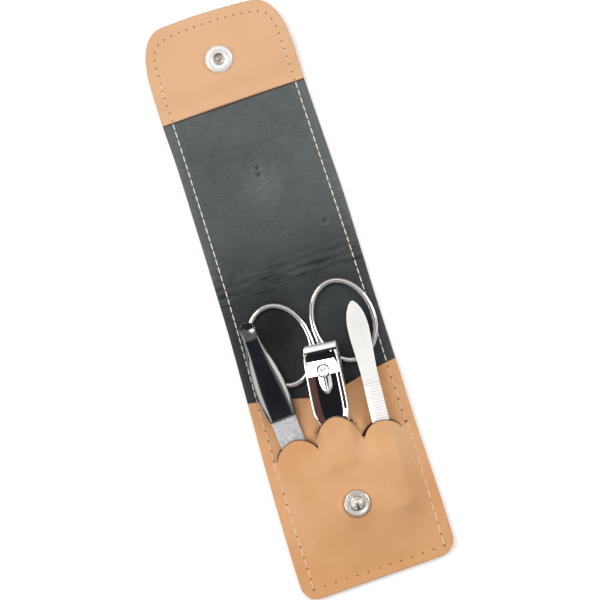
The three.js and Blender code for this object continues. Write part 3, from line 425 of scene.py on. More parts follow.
def leather_sheet(name, y_from, y_to, low, high, shape=None, lift=None, columns=97, step=0.8, open_ends=(),
                  hole=0.0):
    """A sheet inside the case outline with softened upper edges. shape is added to its face, lift to both
    faces. open_ends are the ends, 0 or 1, at which the next sheet goes on."""
    length = y_to - y_from
    share = np.linspace(0, 1, max(8, int(length / step)))
    beside_end = np.array([0.12, 0.3, 0.6]) / length
    for end, extra in ((0, beside_end), (1, 1 - beside_end)):
        if end not in open_ends:
            share = np.union1d(share, extra)
    U, V = np.meshgrid(edge_shares(columns), share)
    nominal = mix(y_from, y_to, V)
    X, Y = mix(left_side(nominal), right_side(nominal), (U + 1) / 2), nominal
    if y_from <= BOTTOM:
        Y = mix(bottom_edge(X), y_to, V)
    elif 0 not in open_ends:
        Y = mix(facing_edge(X), y_to, V)
    if y_to >= TOP:
        Y = mix(Y[0][None, :], top_edge(X), V)
    gap = side_gap(X, nominal)
    for end, end_gap in ((0, V * length), (1, (1 - V) * length)):
        if end not in open_ends:
            gap = np.minimum(gap, end_gap)
    X, Y = round_corners(X, Y)
    base = cover_rise(Y) + (lift(X, Y) if lift else 0)
    face = shape(X, Y, gap) if shape else 0
    top = np.stack([X, Y, high + base + face - soften(gap, EDGE_ROUND)], axis=-1)
    under = np.stack([X, Y, low + base], axis=-1)
    middle_x, middle_y = (g[:-1, :-1] / 2 + g[1:, 1:] / 2 for g in (X, Y))
    piece = grid_solid(name, top, under, np.hypot(middle_x - SNAP_X, middle_y - SOCKET_Y) < hole)
    edge = 0.25 * edge_darkening(gap, 0.1, 0.35)
    # The facing's lower edge gets a band that is wider in the middle: dye, and painted shadow under the
    # lifted edge.
    if not open_ends:
        edge = np.maximum(edge, edge_darkening(V * length, 0.1, 0.3 + 0.35 * free_middle(X), 1.1))
    mark(piece, "edge", np.tile(edge.ravel(), 2))
    mark(piece, "rim", np.tile(np.exp(-gap / 2.6).ravel(), 2))
    return piece


# Materials
def new_material(name):
    material = bpy.data.materials.new(name)
    material.use_nodes = True
    tree = material.node_tree
    return material, tree, tree.nodes["Principled BSDF"]


def connect(tree, node, inputs):
    """Sets inputs of a node, each to a value or to another node's socket."""
    for key, value in inputs.items():
        if isinstance(value, bpy.types.NodeSocket):
            tree.links.new(value, node.inputs[key])
        else:
            node.inputs[key].default_value = value


def add(tree, kind, inputs=None, **settings):
    node = tree.nodes.new(kind)
    for key, value in settings.items():
        setattr(node, key, value)
    connect(tree, node, inputs or {})
    return node


def place(tree, turn=0.0, scale=(1, 1, 1)):
    """Object coordinates, turned in plan and scaled."""
    where = add(tree, "ShaderNodeTexCoord").outputs["Object"]
    return add(tree, "ShaderNodeMapping", {"Vector": where, "Rotation": (0, 0, math.radians(turn)),
                                           "Scale": scale}).outputs["Vector"]


def noise(tree, vector, scale, detail=3.0, rough=0.5):
    return add(tree, "ShaderNodeTexNoise", {"Vector": vector, "Scale": scale, "Detail": detail,
                                            "Roughness": rough}).outputs["Fac"]


def cells(tree, vector, scale, feature="F1"):
    node = add(tree, "ShaderNodeTexVoronoi", {"Vector": vector, "Scale": scale}, feature=feature)
    return node.outputs["Distance"]


def spread(tree, value, low, high, to_low=0.0, to_high=1.0):
    return add(tree, "ShaderNodeMapRange", {"Value": value, "From Min": low, "From Max": high,
                                            "To Min": to_low, "To Max": to_high}).outputs["Result"]


def varied(tree, share, to_low=0.0, to_high=1.0):
    """A noise's usual range, 0.3 to 0.7, spread over another."""
    return spread(tree, share, 0.3, 0.7, to_low, to_high)


def calculate(tree, operation, a, b):
    return add(tree, "ShaderNodeMath", {0: a, 1: b}, operation=operation).outputs[0]


def blend_colour(tree, share, a, b, how="MIX"):
    """Colour a where the share is 0 and b where it is 1."""
    node = add(tree, "ShaderNodeMix", data_type="RGBA", blend_type=how)
    factor = [s for s in node.inputs if s.name == "Factor"][0]
    first, second = [s for s in node.inputs if s.type == "RGBA"]
    for socket, value in ((factor, share), (first, a), (second, b)):
        if isinstance(value, bpy.types.NodeSocket):
            tree.links.new(value, socket)
        else:
            socket.default_value = value if socket is factor else (*value, 1)
    return [s for s in node.outputs if s.type == "RGBA"][0]


def times_colour(tree, base, colour):
    return blend_colour(tree, 1.0, base, colour, "MULTIPLY")


def times_grey(tree, base, value):
    grey = add(tree, "ShaderNodeCombineColor", {0: value, 1: value, 2: value})
    return times_colour(tree, base, grey.outputs[0])


def bump(tree, height, strength, distance, normal=None):
    inputs = {"Height": height, "Strength": strength, "Distance": distance}
    if normal is not None:
        inputs["Normal"] = normal
    return add(tree, "ShaderNodeBump", inputs).outputs["Normal"]


def attribute(tree, name):
    return add(tree, "ShaderNodeAttribute", attribute_name=name).outputs["Fac"]


def leather(name, light, dark, edge_colour):
    """Smooth tan leather: cloudy, with fine grain and pores, with painted shade towards the bottom, and dark
    at its cut edges, where the band is partly painted shadow.
    """
    material, tree, shader = new_material(name)
    vector = place(tree)
    along = add(tree, "ShaderNodeSeparateXYZ", {"Vector": vector}).outputs["Y"]
    base = blend_colour(tree, varied(tree, noise(tree, vector, 40, 4, 0.55)), dark, light)
    # Painted shade: darker towards the pocket's bottom end, where less light falls.
    base = blend_colour(tree, spread(tree, along, -0.075, -0.122, 0, 0.55), base, dark)
    base = times_grey(tree, base, spread(tree, noise(tree, vector, 3800, 2, 0.5), 0.2, 0.8, 0.95, 1.04))
    grain = bump(tree, noise(tree, vector, 700, 5, 0.6), 0.2, 0.00018)
    # The edge colour is dye at the cut edges; at the facing's lower edge and at the slits it also paints the
    # shadow under them.
    connect(tree, shader, {
        "Base Color": blend_colour(tree, attribute(tree, "edge"), base, edge_colour),
        "Roughness": varied(tree, noise(tree, vector, 1500, 4, 0.6), 0.42, 0.58),
        "Specular IOR Level": 0.4,
        "Normal": bump(tree, cells(tree, vector, 1900, "SMOOTH_F1"), 0.2, 0.00012, grain)})
    return material


def lining_leather():
    """Thin black leather: mottled, grained across, with painted sheen mostly on the cover, paler at its rims,
    and painted shade mostly by the pocket.
    """
    material, tree, shader = new_material("black lining")
    cloudy = noise(tree, place(tree), 70, 6, 0.65)
    patches = noise(tree, place(tree, 30, (1, 1.6, 1)), 190, 4, 0.7)
    grains = noise(tree, place(tree, 0, (0.5, 1.6, 1)), 900, 4, 0.7)
    creases = noise(tree, place(tree, 4, (0.3, 1.7, 1)), 330, 6, 0.66)
    fine = noise(tree, place(tree, 0, (0.6, 1.4, 1)), 1500, 4, 0.6)
    # Painted sheen, with a paler band at the rims added to it, and painted shade, which also lowers the
    # specular.
    painted_sheen = calculate(tree, "ADD", attribute(tree, "painted_sheen"), attribute(tree, "rim"))
    painted_shade = attribute(tree, "painted_shade")
    base = blend_colour(tree, spread(tree, cloudy, 0.34, 0.66), (0.049, 0.058, 0.058), (0.065, 0.076, 0.076))
    base = times_grey(tree, base, spread(tree, patches, 0.35, 0.65, 0.93, 1.07))
    base = blend_colour(tree, painted_sheen, base, times_colour(tree, base, (1.8, 1.8, 1.78)))
    base = blend_colour(tree, painted_shade, base, times_colour(tree, base, (0.16, 0.165, 0.17)))
    base = times_grey(tree, base, varied(tree, grains, 0.84, 1.18))
    connect(tree, shader, {
        "Base Color": blend_colour(tree, attribute(tree, "edge"), base, (0.10, 0.10, 0.095)),
        "Roughness": varied(tree, cloudy, 0.5, 0.36),
        "Specular IOR Level": spread(tree, painted_shade, 0, 1, 0.5, 0.16),
        "Normal": bump(tree, fine, 0.45, 0.00014, bump(tree, creases, 0.6, 0.00028))})
    return material


def thread_material(name, light, dark):
    material, tree, shader = new_material(name)
    fibre = noise(tree, place(tree, 0, (3, 1, 1)), 2600)
    connect(tree, shader, {
        "Base Color": blend_colour(tree, varied(tree, noise(tree, place(tree), 900)), dark, light),
        "Roughness": 0.65,
        "Normal": bump(tree, fibre, 0.5, 0.0001)})
    return material


# Dark brown that paints the shade inside the needle holes.
def hole_shade_material():
    material, tree, shader = new_material("painted hole shade")
    shade = varied(tree, noise(tree, place(tree), 1200))
    connect(tree, shader, {"Base Color": blend_colour(tree, shade, (0.16, 0.075, 0.035), (0.3, 0.15, 0.075)),
                           "Roughness": 0.8})
    return material


def metal(name, colour, roughness, turn=0.0, streaks=0.0, dents=0.0, metallic=1.0):
    """Polished or brushed metal: streaks run along a tool that is turned in plan."""
    material, tree, shader = new_material(name)
    vector = place(tree)
    cloudy = noise(tree, vector, 140, 4, 0.6)
    lines = noise(tree, place(tree, turn, (60, 1, 60)), 60, 5, 0.65)
    connect(tree, shader, {
        "Metallic": metallic,
        "Base Color": blend_colour(tree, varied(tree, cloudy), tuple(c * 0.93 for c in colour), colour),
        "Roughness": varied(tree, lines, *roughness)})
    normal = bump(tree, noise(tree, vector, 220, 2, 0.4), dents, 0.0002) if dents else None
    if streaks:
        normal = bump(tree, lines, streaks, 0.00004, normal)
    if normal is not None:
        connect(tree, shader, {"Normal": normal})
    return material


def grit():
    material, tree, shader = new_material("file grit")
    vector = place(tree)
    speck = noise(tree, vector, 2300, 3, 0.7)
    shade = spread(tree, speck, 0.35, 0.68)
    grains = bump(tree, cells(tree, vector, 3600), 0.5, 0.00012)
    connect(tree, shader, {
        "Metallic": 0.6,
        "Base Color": blend_colour(tree, shade, (0.38, 0.38, 0.4), (0.88, 0.88, 0.9)),
        "Roughness": varied(tree, speck, 0.35, 0.62),
        "Normal": bump(tree, speck, 0.45, 0.00012, grains)})
    return material


def plastic():
    material, tree, shader = new_material("black plastic")
    vector = place(tree)
    shade = varied(tree, noise(tree, vector, 160, 4))
    connect(tree, shader, {
        "Base Color": blend_colour(tree, shade, (0.006, 0.008, 0.010), (0.010, 0.013, 0.017)),
        "Roughness": spread(tree, noise(tree, vector, 500, 4), 0.3, 0.75, 0.12, 0.15),
        "Specular IOR Level": 1.0,
        "Coat Weight": 0.4,
        "Coat Roughness": 0.15,
        "Coat IOR": 1.6,
        "Normal": bump(tree, noise(tree, vector, 200), 0.02, 0.0002)})
    return material


TAN = leather("tan leather", (0.765, 0.43, 0.21), (0.665, 0.325, 0.137), (0.10, 0.05, 0.03))
FACING_TAN = leather("facing leather", (0.77, 0.462, 0.255), (0.725, 0.42, 0.222), (0.09, 0.045, 0.028))
LINING_BLACK = lining_leather()
CREAM = thread_material("cream thread", (1.0, 0.91, 0.82), (0.84, 0.75, 0.64))
TAN_THREAD = thread_material("tan thread", (0.95, 0.74, 0.5), (0.82, 0.58, 0.36))
HOLE_SHADE = hole_shade_material()
CHROME = metal("polished steel", (0.9, 0.885, 0.87), (0.04, 0.09), dents=0.03)
NICKEL = metal("snap nickel", (0.84, 0.81, 0.76), (0.24, 0.32), metallic=0.75)
SOCKET_NICKEL = metal("socket nickel", (0.97, 0.965, 0.95), (0.24, 0.34), metallic=0.35)
# Dark metal that paints the shade in the stud's slit and groove.
SLIT_SHADE_METAL = metal("painted slit shade", (0.3, 0.26, 0.22), (0.25, 0.4), dents=0.1)
FLOOR_METAL = metal("socket floor", (0.62, 0.55, 0.48), (0.25, 0.4), dents=0.1, metallic=0.6)
COLLAR_STEEL = metal("collar steel", (0.4, 0.44, 0.48), (0.2, 0.28))
SATIN = metal("satin steel", (1.0, 0.99, 0.965), (0.36, 0.5), turn=3.75, streaks=0.3, metallic=0.35)
GRIT = grit()
PLASTIC = plastic()


# Leather of the case, in one sheet each
# Dents as [x, y, depth, size]
DENTS = ((1.0, 53.2, 0.34, 0.9), (0.7, 50.6, 0.42, 1.0), (20.6, 25.0, 0.3, 0.8), (1.5, 10.3, 0.2, 0.6),
         (-17, 15.5, 0.12, 0.9))


def wrinkle_lines(x, y, scale):
    return waves(x * 0.16 + 0.05 * y, y, scale, 3)


def lining_shape(x, y, gap):
    """Wrinkles by the fold, small dents, and the soft unevenness of a thin lining."""
    fold = hill(y - 5.5, 5.0) + 0.25 * hill(y - 10, 14)
    wrinkles = 0.16 * fold * wrinkle_lines(x, y, 4.2)
    loose = 0.06 * waves(x, y, 26, 5) + 0.035 * waves(x, y, 8, 15)
    bowl = 0.25 * hill(x - 1, 9) * hill(y - 43, 7) - 0.5 * hill(x - 1, 5) * hill(y - 53, 5.5)
    dents = 0.0
    for cx, cy, deep, size in DENTS:
        away = np.hypot(x - cx, (y - cy) * 1.15)
        dents = dents - deep * hill(away, size) + 0.3 * deep * hill(away - 2.1 * size, size)
    return np.clip(gap / 3, 0, 1) * np.clip(wrinkles + loose + 0.55 * bowl + dents, -0.45, 0.3)


def dent_shades(x, y):
    """Painted shade at the bottom of dents and wrinkles and just above the dents, and painted highlight on
    their raised sides.
    """
    fold = hill(y - 10, 6)
    lines = wrinkle_lines(x, y, 3.2)
    dark = 0.8 * fold * np.clip(-lines, 0, 1) + 0.12 * hill(x - 1.5, 6) * hill(y - 60, 5)
    pale = 1.3 * fold * np.clip(lines, 0, 1)
    for cx, cy, deep, size in DENTS:
        away = np.hypot(x - cx, (y - cy) * 1.15)
        lower = np.clip(0.4 - (y - cy) / (3 * size), 0, 1)
        dark = dark + 1.6 * deep * hill(away, size)
        pale = pale + 3.0 * deep * lower * hill(away - 2.0 * size, 0.7 * size)
    return dark, pale


def mark_painted_light(piece):
    """Marks where light and shade are painted on the lining: painted sheen, mostly on the cover, and painted
    shade, mostly by the pocket and in the left bow's place.
    """
    x, y, _ = vertex_places(piece)
    dark, pale = dent_shades(x, y)
    # Painted sheen in the cover's middle and over the cover, less on its left.
    centre = hill(x - 0.5, 9) * hill(y - 43.5, 6.5)
    cover = ease(8, 55, y) * (1 - 0.75 * ease(4, -16, x) * ease(78, 55, y))
    mark(piece, "painted_sheen", 0.4 * centre + pale + 0.52 * cover)
    # Painted shade towards the pocket and a painted shadow where the left bow lies.
    pocket = 0.56 * ease(34, 0, y) + 0.1 * ease(20, 0, y) * ease(2, -14, x)
    left_bow = hill(x + 10, 9) * hill(y + 11, 12)
    mark(piece, "painted_shade", np.clip(dark + pocket + 0.42 * left_bow, 0, 1))


def tan_shape(x, y, gap):
    return 0.03 * waves(x, y, 16, 11) * np.clip(gap / 3, 0, 1)


def facing_lift(x, y):
    """The facing's free edge stands off the lining a little in the middle."""
    stand, reach = 0.1, 7
    return stand * free_middle(x) * ease(reach, 0, y - facing_edge(x))


def bent(piece):
    """Bakes a piece's place into its mesh."""
    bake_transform(piece)


def build_layer(layer, low, high, material, hole=0.0, **settings):
    """One sheet under the whole case, in two pieces that meet on the spine."""
    lower = leather_sheet(layer + "_lower", BOTTOM, MID_SPINE, low, high, open_ends=(1,), **settings)
    upper = leather_sheet(layer + "_upper", MID_SPINE, TOP, low, high, open_ends=(0,), hole=hole, **settings)
    for piece in (lower, upper):
        paint(piece, material)
    bent(lower)
    bent(upper)
    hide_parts("back_" + layer)
    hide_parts("spine_" + layer, "cover_" + layer)
    return lower, upper


def build_leather():
    build_layer("outer_leather", 0, OUTER, TAN)
    fine = dict(shape=lining_shape, columns=161, step=0.4)
    for piece in build_layer("lining", OUTER, LINING_TOP, LINING_BLACK, SOCKET_HOLE, **fine):
        mark_painted_light(piece)
    facing = leather_sheet("facing_leather", FACING_EDGE, TOP, LINING_TOP, LINING_TOP + FACING, tan_shape,
                           facing_lift, step=0.5, hole=SOCKET_HOLE)
    dress(facing, FACING_TAN, "cover", "flap_facing")


# Heights of the tools in their own frames, by the distance down from the head
def line_x(tool, y):
    """X of a tool's middle line at Y."""
    return tool["x"] + (tool["y"] - y) * math.tan(math.radians(tool["turn"]))


def beside_line(tool, x, y):
    return np.abs(x - line_x(tool, y))


def line_z(tool, down):
    return tool["z"] - down * math.sin(math.radians(tool["tilt"]))


def clipper_outer(down):
    taper = ease(PIN_DOWN, CLIPPER_LENGTH - 2 * JAW_LENGTH, down)
    curve = np.sqrt(1 - (1 - np.clip(np.asarray(down, float) / JAW_LENGTH, 0, 1)) ** 2)
    return mix(JAW_EDGE + GAP, mix(HALF_HEIGHT, FIT + ARM, taper), curve)


def clipper_inner(down):
    return mix(JAW_EDGE, clipper_outer(down) - ARM, ease(JAW_CURVE_FROM, JAW_CURVE_TO, down))


def lever_bottom(down):
    return mix(HALF_HEIGHT + GAP, FIT + ARM + GAP, ease(PIN_DOWN, LEVER_END, down))


def lever_top(down):
    low_share, lower_share = 0.5, 0.85
    walls = ease(LEVER_END * low_share, LEVER_END * lower_share, down)
    return lever_bottom(down) + mix(LEVER_WALLS, LEVER_PLATE, walls)


def tweezers_inner(down):
    belly_share, closing_share = 0.55, 0.7
    belly = ease(SPACER_DOWN, belly_share * TWEEZERS_LENGTH, down)
    closing = ease(closing_share * TWEEZERS_LENGTH, TWEEZERS_LENGTH, down)
    return mix(mix(SPACER_HALF + FIT, BELLY_HALF, belly), TIP_HALF, closing)


# The pocket leather is pulled tight over the tools: a membrane that rests on them and is held at the stitches
STEP = 0.4
GRID_X = np.arange(-83, 84) * STEP
GRID_Y = BOTTOM - 1 + np.arange(0, 216) * STEP
ROLL_SLOPE = math.sin(math.radians(-CLIPPER["roll"]))


def tool_tops(x, y):
    """Lift above the lining that the tools and the stud need under the lower leather."""
    blade_half, shank_half, tweezers_half, clipper_half, tail_half = 5.2, 4.6, 3.6, 6.9, 4.6
    point, lever_play, tail_play, past_lever, tail_from, tail_to = 1.4, 0.5, 0.4, 1, 26, 46
    tops = np.zeros_like(x)

    def rest_on(inside, z):
        np.maximum(tops, np.where(inside, z - LINING_TOP, 0), out=tops)

    down = FILE["y"] - y
    rest_on((beside_line(FILE, x, y) < blade_half) & (down < HANDLE_LENGTH + BLADE_LENGTH - point),
            line_z(FILE, down) + BLADE_THICK + GAP)
    down = TWEEZERS["y"] - y
    rest_on((beside_line(TWEEZERS, x, y) < tweezers_half) & (down < TWEEZERS_LENGTH),
            line_z(TWEEZERS, down) + tweezers_inner(down) + TWEEZERS_ARM + GAP)
    down = CLIPPER["y"] - y
    beside = x - line_x(CLIPPER, y)
    lever = lever_top(down) + (down - PIN_DOWN) * math.sin(math.radians(LEVER_LIFT)) + lever_play
    high = np.where(down > LEVER_END + past_lever, ARM + 2 * FIT + tail_play + GAP, lever)
    half = mix(clipper_half, tail_half, ease(tail_from, tail_to, down))
    rest_on((np.abs(beside) < half) & (down < CLIPPER_LENGTH + GAP),
            CLIPPER["z"] + high + beside * ROLL_SLOPE)
    rest_on(np.hypot(x - SNAP_X, y - STUD_Y) < SEAT_RADIUS, STUD_SEAT - PANEL)
    rest_on((beside_line(SCISSORS, x, y) < shank_half) & (y > SCISSORS_TIP_Y), SCISSORS_TOP + GAP)
    return tops


def tool_bellies(x, y):
    """Lift above the lining that is left under the tools for the upper leather."""
    free, play = 9.0, 0.2
    handle_half, blade_half, tweezers_half, clipper_half = 6.8, 5.5, 3.9, 7.0
    bellies = np.full_like(x, free)

    def stay_under(half, beside, z):
        room = np.where(np.abs(beside) < half, z - LINING_TOP - PANEL - play, free)
        np.minimum(bellies, room, out=bellies)

    down = FILE["y"] - y
    handle = down < HANDLE_LENGTH + 0.4
    stay_under(np.where(handle, handle_half, blade_half), x - line_x(FILE, y),
               line_z(FILE, down) - np.where(handle, HANDLE_THICK, BLADE_THICK))
    down = TWEEZERS["y"] - y
    stay_under(tweezers_half, x - line_x(TWEEZERS, y),
               line_z(TWEEZERS, down) - tweezers_inner(down) - TWEEZERS_ARM)
    down = CLIPPER["y"] - y
    beside = x - line_x(CLIPPER, y)
    stay_under(clipper_half, beside, CLIPPER["z"] - clipper_outer(down) + beside * ROLL_SLOPE)
    return bellies


def neighbours(z):
    """The sum of the four cells beside each cell."""
    padded = np.pad(z, 1, mode="edge")
    return padded[:-2, 1:-1] + padded[2:, 1:-1] + padded[1:-1, :-2] + padded[1:-1, 2:]


def smoothed(z, rounds):
    for _ in range(rounds):
        z = (4 * z + neighbours(z)) / 8
    return z


def pulled_tight(low, high, held, start):
    """Settles a membrane between its lower and upper limits. held marks the cells that stay as they start."""
    z = start.copy()
    for _ in range(2600):
        z = np.where(held, start, np.clip(neighbours(z) / 4, low, high))
    return z


def settle_pocket():
    """The lifts of the leather below the slits and above them, each as a grid."""
    rod_half, rod_spread, rods_part_y, least, edge_lift, far = 5.0, 0.125, -60, 0.1, 0.25, 99.0
    x, y = np.meshgrid(GRID_X, GRID_Y)
    sewn = (x < -SEAM_LEFT) | (x > SEAM_RIGHT) | (y < HEM + HEM_SLANT * x)
    junctions = np.zeros(x.shape, bool)
    for left, right in zip(LOBES, LOBES[1:]):
        end_x, start_x = left[0] + left[1] - LOBE_GAP, right[0] - right[1] + LOBE_GAP
        share = np.clip((x - end_x) / (start_x - end_x), 0, 1)
        near = np.abs(y - BOTTOM - mix(left[2], right[2], share)) < 2 * STEP
        junctions |= near & (x > end_x - STEP) & (x < start_x + STEP)
    tops = tool_tops(x, y)
    start = np.where(junctions, JUNCTION_LIFT, np.where(sewn, 0, tops))
    lower = pulled_tight(tops, far, junctions | sewn, start)

    bellies = tool_bellies(x, y)
    rods = beside_line(SCISSORS, x, y) < rod_half + rod_spread * np.clip(y - rods_part_y, 0, None)
    low = np.where(rods, SCISSORS_TOP + FIT - LINING_TOP, least)
    low = np.minimum(low, np.maximum(bellies, least))
    resting = (np.abs(y - panel_edge(x)) < STEP) & ~rods
    start = np.where(junctions, JUNCTION_LIFT, np.where(sewn, 0, np.where(resting, edge_lift, low)))
    upper = pulled_tight(low, np.maximum(bellies, low), junctions | sewn | resting, start)
    return np.maximum(smoothed(lower, 14), 0), np.maximum(smoothed(upper, 5), 0)


LOWER_GRID, UPPER_GRID = settle_pocket()


def lift_at(grid, x, y):
    """The settled leather's lift at a place, eased between the grid's cells."""
    column = np.clip((np.asarray(x, float) - GRID_X[0]) / STEP, 0, len(GRID_X) - 1.001)
    row = np.clip((np.asarray(y, float) - GRID_Y[0]) / STEP, 0, len(GRID_Y) - 1.001)
    i, j = column.astype(int), row.astype(int)
    s, t = ((part + ease(0, 1, part)) / 2 for part in (column - i, row - j))
    return mix(mix(grid[j, i], grid[j, i + 1], s), mix(grid[j + 1, i], grid[j + 1, i + 1], s), t)


def surface(grid, x, y, height):
    """Points at a height along the normal of the settled leather."""
    nx = (lift_at(grid, x - STEP, y) - lift_at(grid, x + STEP, y)) / (2 * STEP)
    ny = (lift_at(grid, x, y - STEP) - lift_at(grid, x, y + STEP)) / (2 * STEP)
    length = np.sqrt(nx * nx + ny * ny + 1)
    z = LINING_TOP + lift_at(grid, x, y)
    return np.stack([x + nx / length * height, y + ny / length * height, z + height / length], axis=-1)


def panel_columns():
    """Columns of the pocket as [kind, share]: -1 and 3 are the side strips, 0 to 2 the lobes."""
    outer = (0, 0.02, 0.06, 0.14, 0.3, 0.5, 0.7, 0.85, 1)
    shares = np.sin(np.linspace(-math.pi / 2, math.pi / 2, 61))
    return np.array([(-1, t) for t in outer] + [(k, s) for k in range(3) for s in shares]
                    + [(3, t) for t in reversed(outer)])


def panel_faces(up_over, up_under, low_over, low_under, opened):
    """Faces of the pocket from the over and under index grids of its two zones. The zones part at the slits,
    in the columns that are opened."""
    faces = []
    for over, under in ((up_over, up_under), (low_over, low_under)):
        for (o, p), (u, v) in zip(zip(over, over[1:]), zip(under, under[1:])):
            for i in range(len(opened) - 1):
                faces.append((o[i], p[i], p[i + 1], o[i + 1]))
                faces.append((u[i], u[i + 1], v[i + 1], v[i]))
            faces.append((o[0], u[0], v[0], p[0]))
            faces.append((o[-1], p[-1], v[-1], u[-1]))

    def wall(over, under, i):
        faces.append((over[i], over[i + 1], under[i + 1], under[i]))

    for i in range(len(opened) - 1):
        wall(up_over[0], up_under[0], i)
        wall(low_under[-1], low_over[-1], i)
        if opened[i] or opened[i + 1]:
            wall(up_under[-1], up_over[-1], i)
            wall(low_over[0], low_under[0], i)
    return faces


def build_panel():
    kinds, shares = panel_columns().T
    lobe_of = np.clip(kinds, 0, 2).astype(int)
    in_lobe = (kinds >= 0) & (kinds < 3)
    opened = in_lobe & (np.abs(shares) < 0.9999)
    edge_share = np.where(in_lobe, shares, 1.0)
    centres, widths, slit_ends, arches = LOBES[lobe_of].T
    halves = widths - LOBE_GAP
    slits = BOTTOM + slit_ends + arches * np.clip(1 - edge_share ** 2, 0, 1) ** 0.75
    count = len(kinds)

    def column_x(y):
        x = centres + shares * halves
        x = np.where(kinds == -1, mix(left_side(y), centres[0] - halves[0], shares), x)
        return np.where(kinds == 3, mix(right_side(y), centres[-1] + halves[-1], shares), x)

    def rows(starts, ends, steps):
        """X and Y of rows of points at shares of the way from starts to ends."""
        places = [mix(starts, ends, step) for step in steps]
        return np.array([round_corners(column_x(y), y) for y in places]).swapaxes(0, 1)

    nominal = column_x(slits)
    arch_steps = 1 - np.cos(np.linspace(0, math.pi / 2, 56))
    upper_steps = np.union1d(np.linspace(0, 1, 44), [0.004, 0.012, 0.02, 0.98, 0.988, 0.996])
    lobe_steps = np.union1d(arch_steps, [0.002, 0.005, 0.009, 0.014])[:-1]
    hem_steps = np.union1d(np.linspace(0, 1, 56), [0.988, 0.994, 0.998])
    seat_top, seat_end = (np.full(count, STUD_Y + r) for r in (SEAT_RADIUS, -SEAT_RADIUS))
    upper_x, upper_y = rows(panel_edge(nominal), slits, upper_steps)
    lower_x, lower_y = np.concatenate([
        rows(slits, seat_top, lobe_steps), rows(seat_top, seat_end, np.linspace(0, 1, 26)[:-1]),
        rows(seat_end, bottom_edge(nominal), hem_steps)], axis=1)

    # An arched lobe draws in a little from the sides of its slit
    drawn = 0.045 + 0.15 * ((lobe_of == 2) & (shares < 0))
    lower_x = lower_x - np.where(opened, shares * halves * drawn, 0) * ease(9, 0, slits - lower_y)

    points, marks = [], []

    def lay(grid, X, Y, slit_row, free_row):
        """Adds the upper and under skins of a zone and returns their index grids."""
        gap = np.minimum(np.maximum(side_gap(X, Y), 0), np.abs(Y - Y[free_row]))
        slit_gap = np.where(opened, np.abs(Y - Y[slit_row]), 99.0) * (1 - 0.55 * np.abs(edge_share) ** 3)
        nearest = np.minimum(gap, slit_gap)
        over, under = surface(grid, X, Y, PANEL), surface(grid, X, Y, 0.0)
        over[..., 2] += 0.05 * waves(X, Y, 22, 21) * np.clip(nearest / 3, 0, 1) - soften(nearest, EDGE_ROUND)
        under[..., 2] = np.maximum(under[..., 2], LINING_TOP)
        index = len(points) + np.arange(X.size).reshape(X.shape)
        points.extend(over.reshape(-1, 3))
        points.extend(under.reshape(-1, 3))
        # A painted shadow ring round the stud's rim; dark cut edges, which at the slits are also painted
        # shadow under the lobes.
        stud_shadow = 0.6 * hill(np.hypot(X - SNAP_X, Y - STUD_Y) - 5.3, 0.35)
        dye_and_shadow = np.maximum(0.2 * edge_darkening(gap, 0.1, 0.35), edge_darkening(slit_gap, 0.12, 0.34, 1.15))
        marks.extend(np.maximum(dye_and_shadow, stud_shadow).ravel())
        marks.extend(np.ones(X.size))
        return index, index + X.size

    up_over, up_under = lay(UPPER_GRID, upper_x, upper_y, -1, 0)
    low_over, low_under = lay(LOWER_GRID, lower_x, lower_y, 0, -1)
    up_over[-1][~opened] = low_over[0][~opened]
    up_under[-1][~opened] = low_under[0][~opened]

    faces = panel_faces(up_over.tolist(), up_under.tolist(), low_over.tolist(), low_under.tolist(), opened)
    panel = make("pocket_leather", points, faces)
    panel.data.set_sharp_from_angle(angle=math.radians(55))
    mark(panel, "edge", marks)
    dress(panel, TAN, "back", "pocket_panel")


# Sewing: each stitch is a short twisted thread between two holes
LINING_PITCH, POCKET_PITCH = 3.3, 4.6


def stitch_mesh(name, stitches, radius):
    points, faces = [], []
    around, along = 8, 9
    for start, end in stitches:
        length = np.linalg.norm(end - start)
        forward = (end - start) / length
        side = np.cross(forward, [0, 0, 1.0])
        side /= np.linalg.norm(side)
        up = np.cross(side, forward)
        first = len(points)
        twist = random.uniform(0, math.pi)
        for t in np.linspace(0, 1, along):
            body = math.sin(math.pi * (t * 0.92 + 0.04)) ** 0.35
            middle = start + forward * length * t + up * radius * (0.75 * body - 0.6)
            for angle in circle(around):
                r = radius * body * (1 + 0.16 * math.cos(2 * (angle + twist + 9 * t)))
                points.append(middle + side * r * math.cos(angle) + up * r * math.sin(angle))
        last = len(points) - around
        faces += ring_faces(along, around, first)
        faces += [tuple(reversed(range(first, first + around))), tuple(range(last, last + around))]
    return make(name, points, faces)


def hole_mesh(name, holes, radius):
    """Small sunk cups, as a needle leaves them, that carry the painted shade of the holes."""
    points, faces = [], []
    around = 10
    for middle, normal in holes:
        side = np.cross(normal, [0, 1.0, 0])
        side /= np.linalg.norm(side)
        other = np.cross(normal, side)
        first = len(points)
        for share, height in ((1, 0.015), (0.7, 0.035), (0.3, 0.02)):
            for angle in circle(around):
                outward = side * math.cos(angle) + other * math.sin(angle)
                points.append(middle + normal * height + radius * share * outward)
        faces += ring_faces(3, around, first)
        faces.append(tuple(range(first + 2 * around, first + 3 * around)))
    return make(name, points, faces)


def walk(path, pitch):
    """Places at an even pitch along a line of [x, y] points."""
    path = np.array(path, float)
    lengths = np.concatenate([[0], np.cumsum(np.linalg.norm(np.diff(path, axis=0), axis=1))])
    spots = np.linspace(0, lengths[-1], round(lengths[-1] / pitch) + 1)
    return [(np.interp(s, lengths, path[:, 0]), np.interp(s, lengths, path[:, 1])) for s in spots]


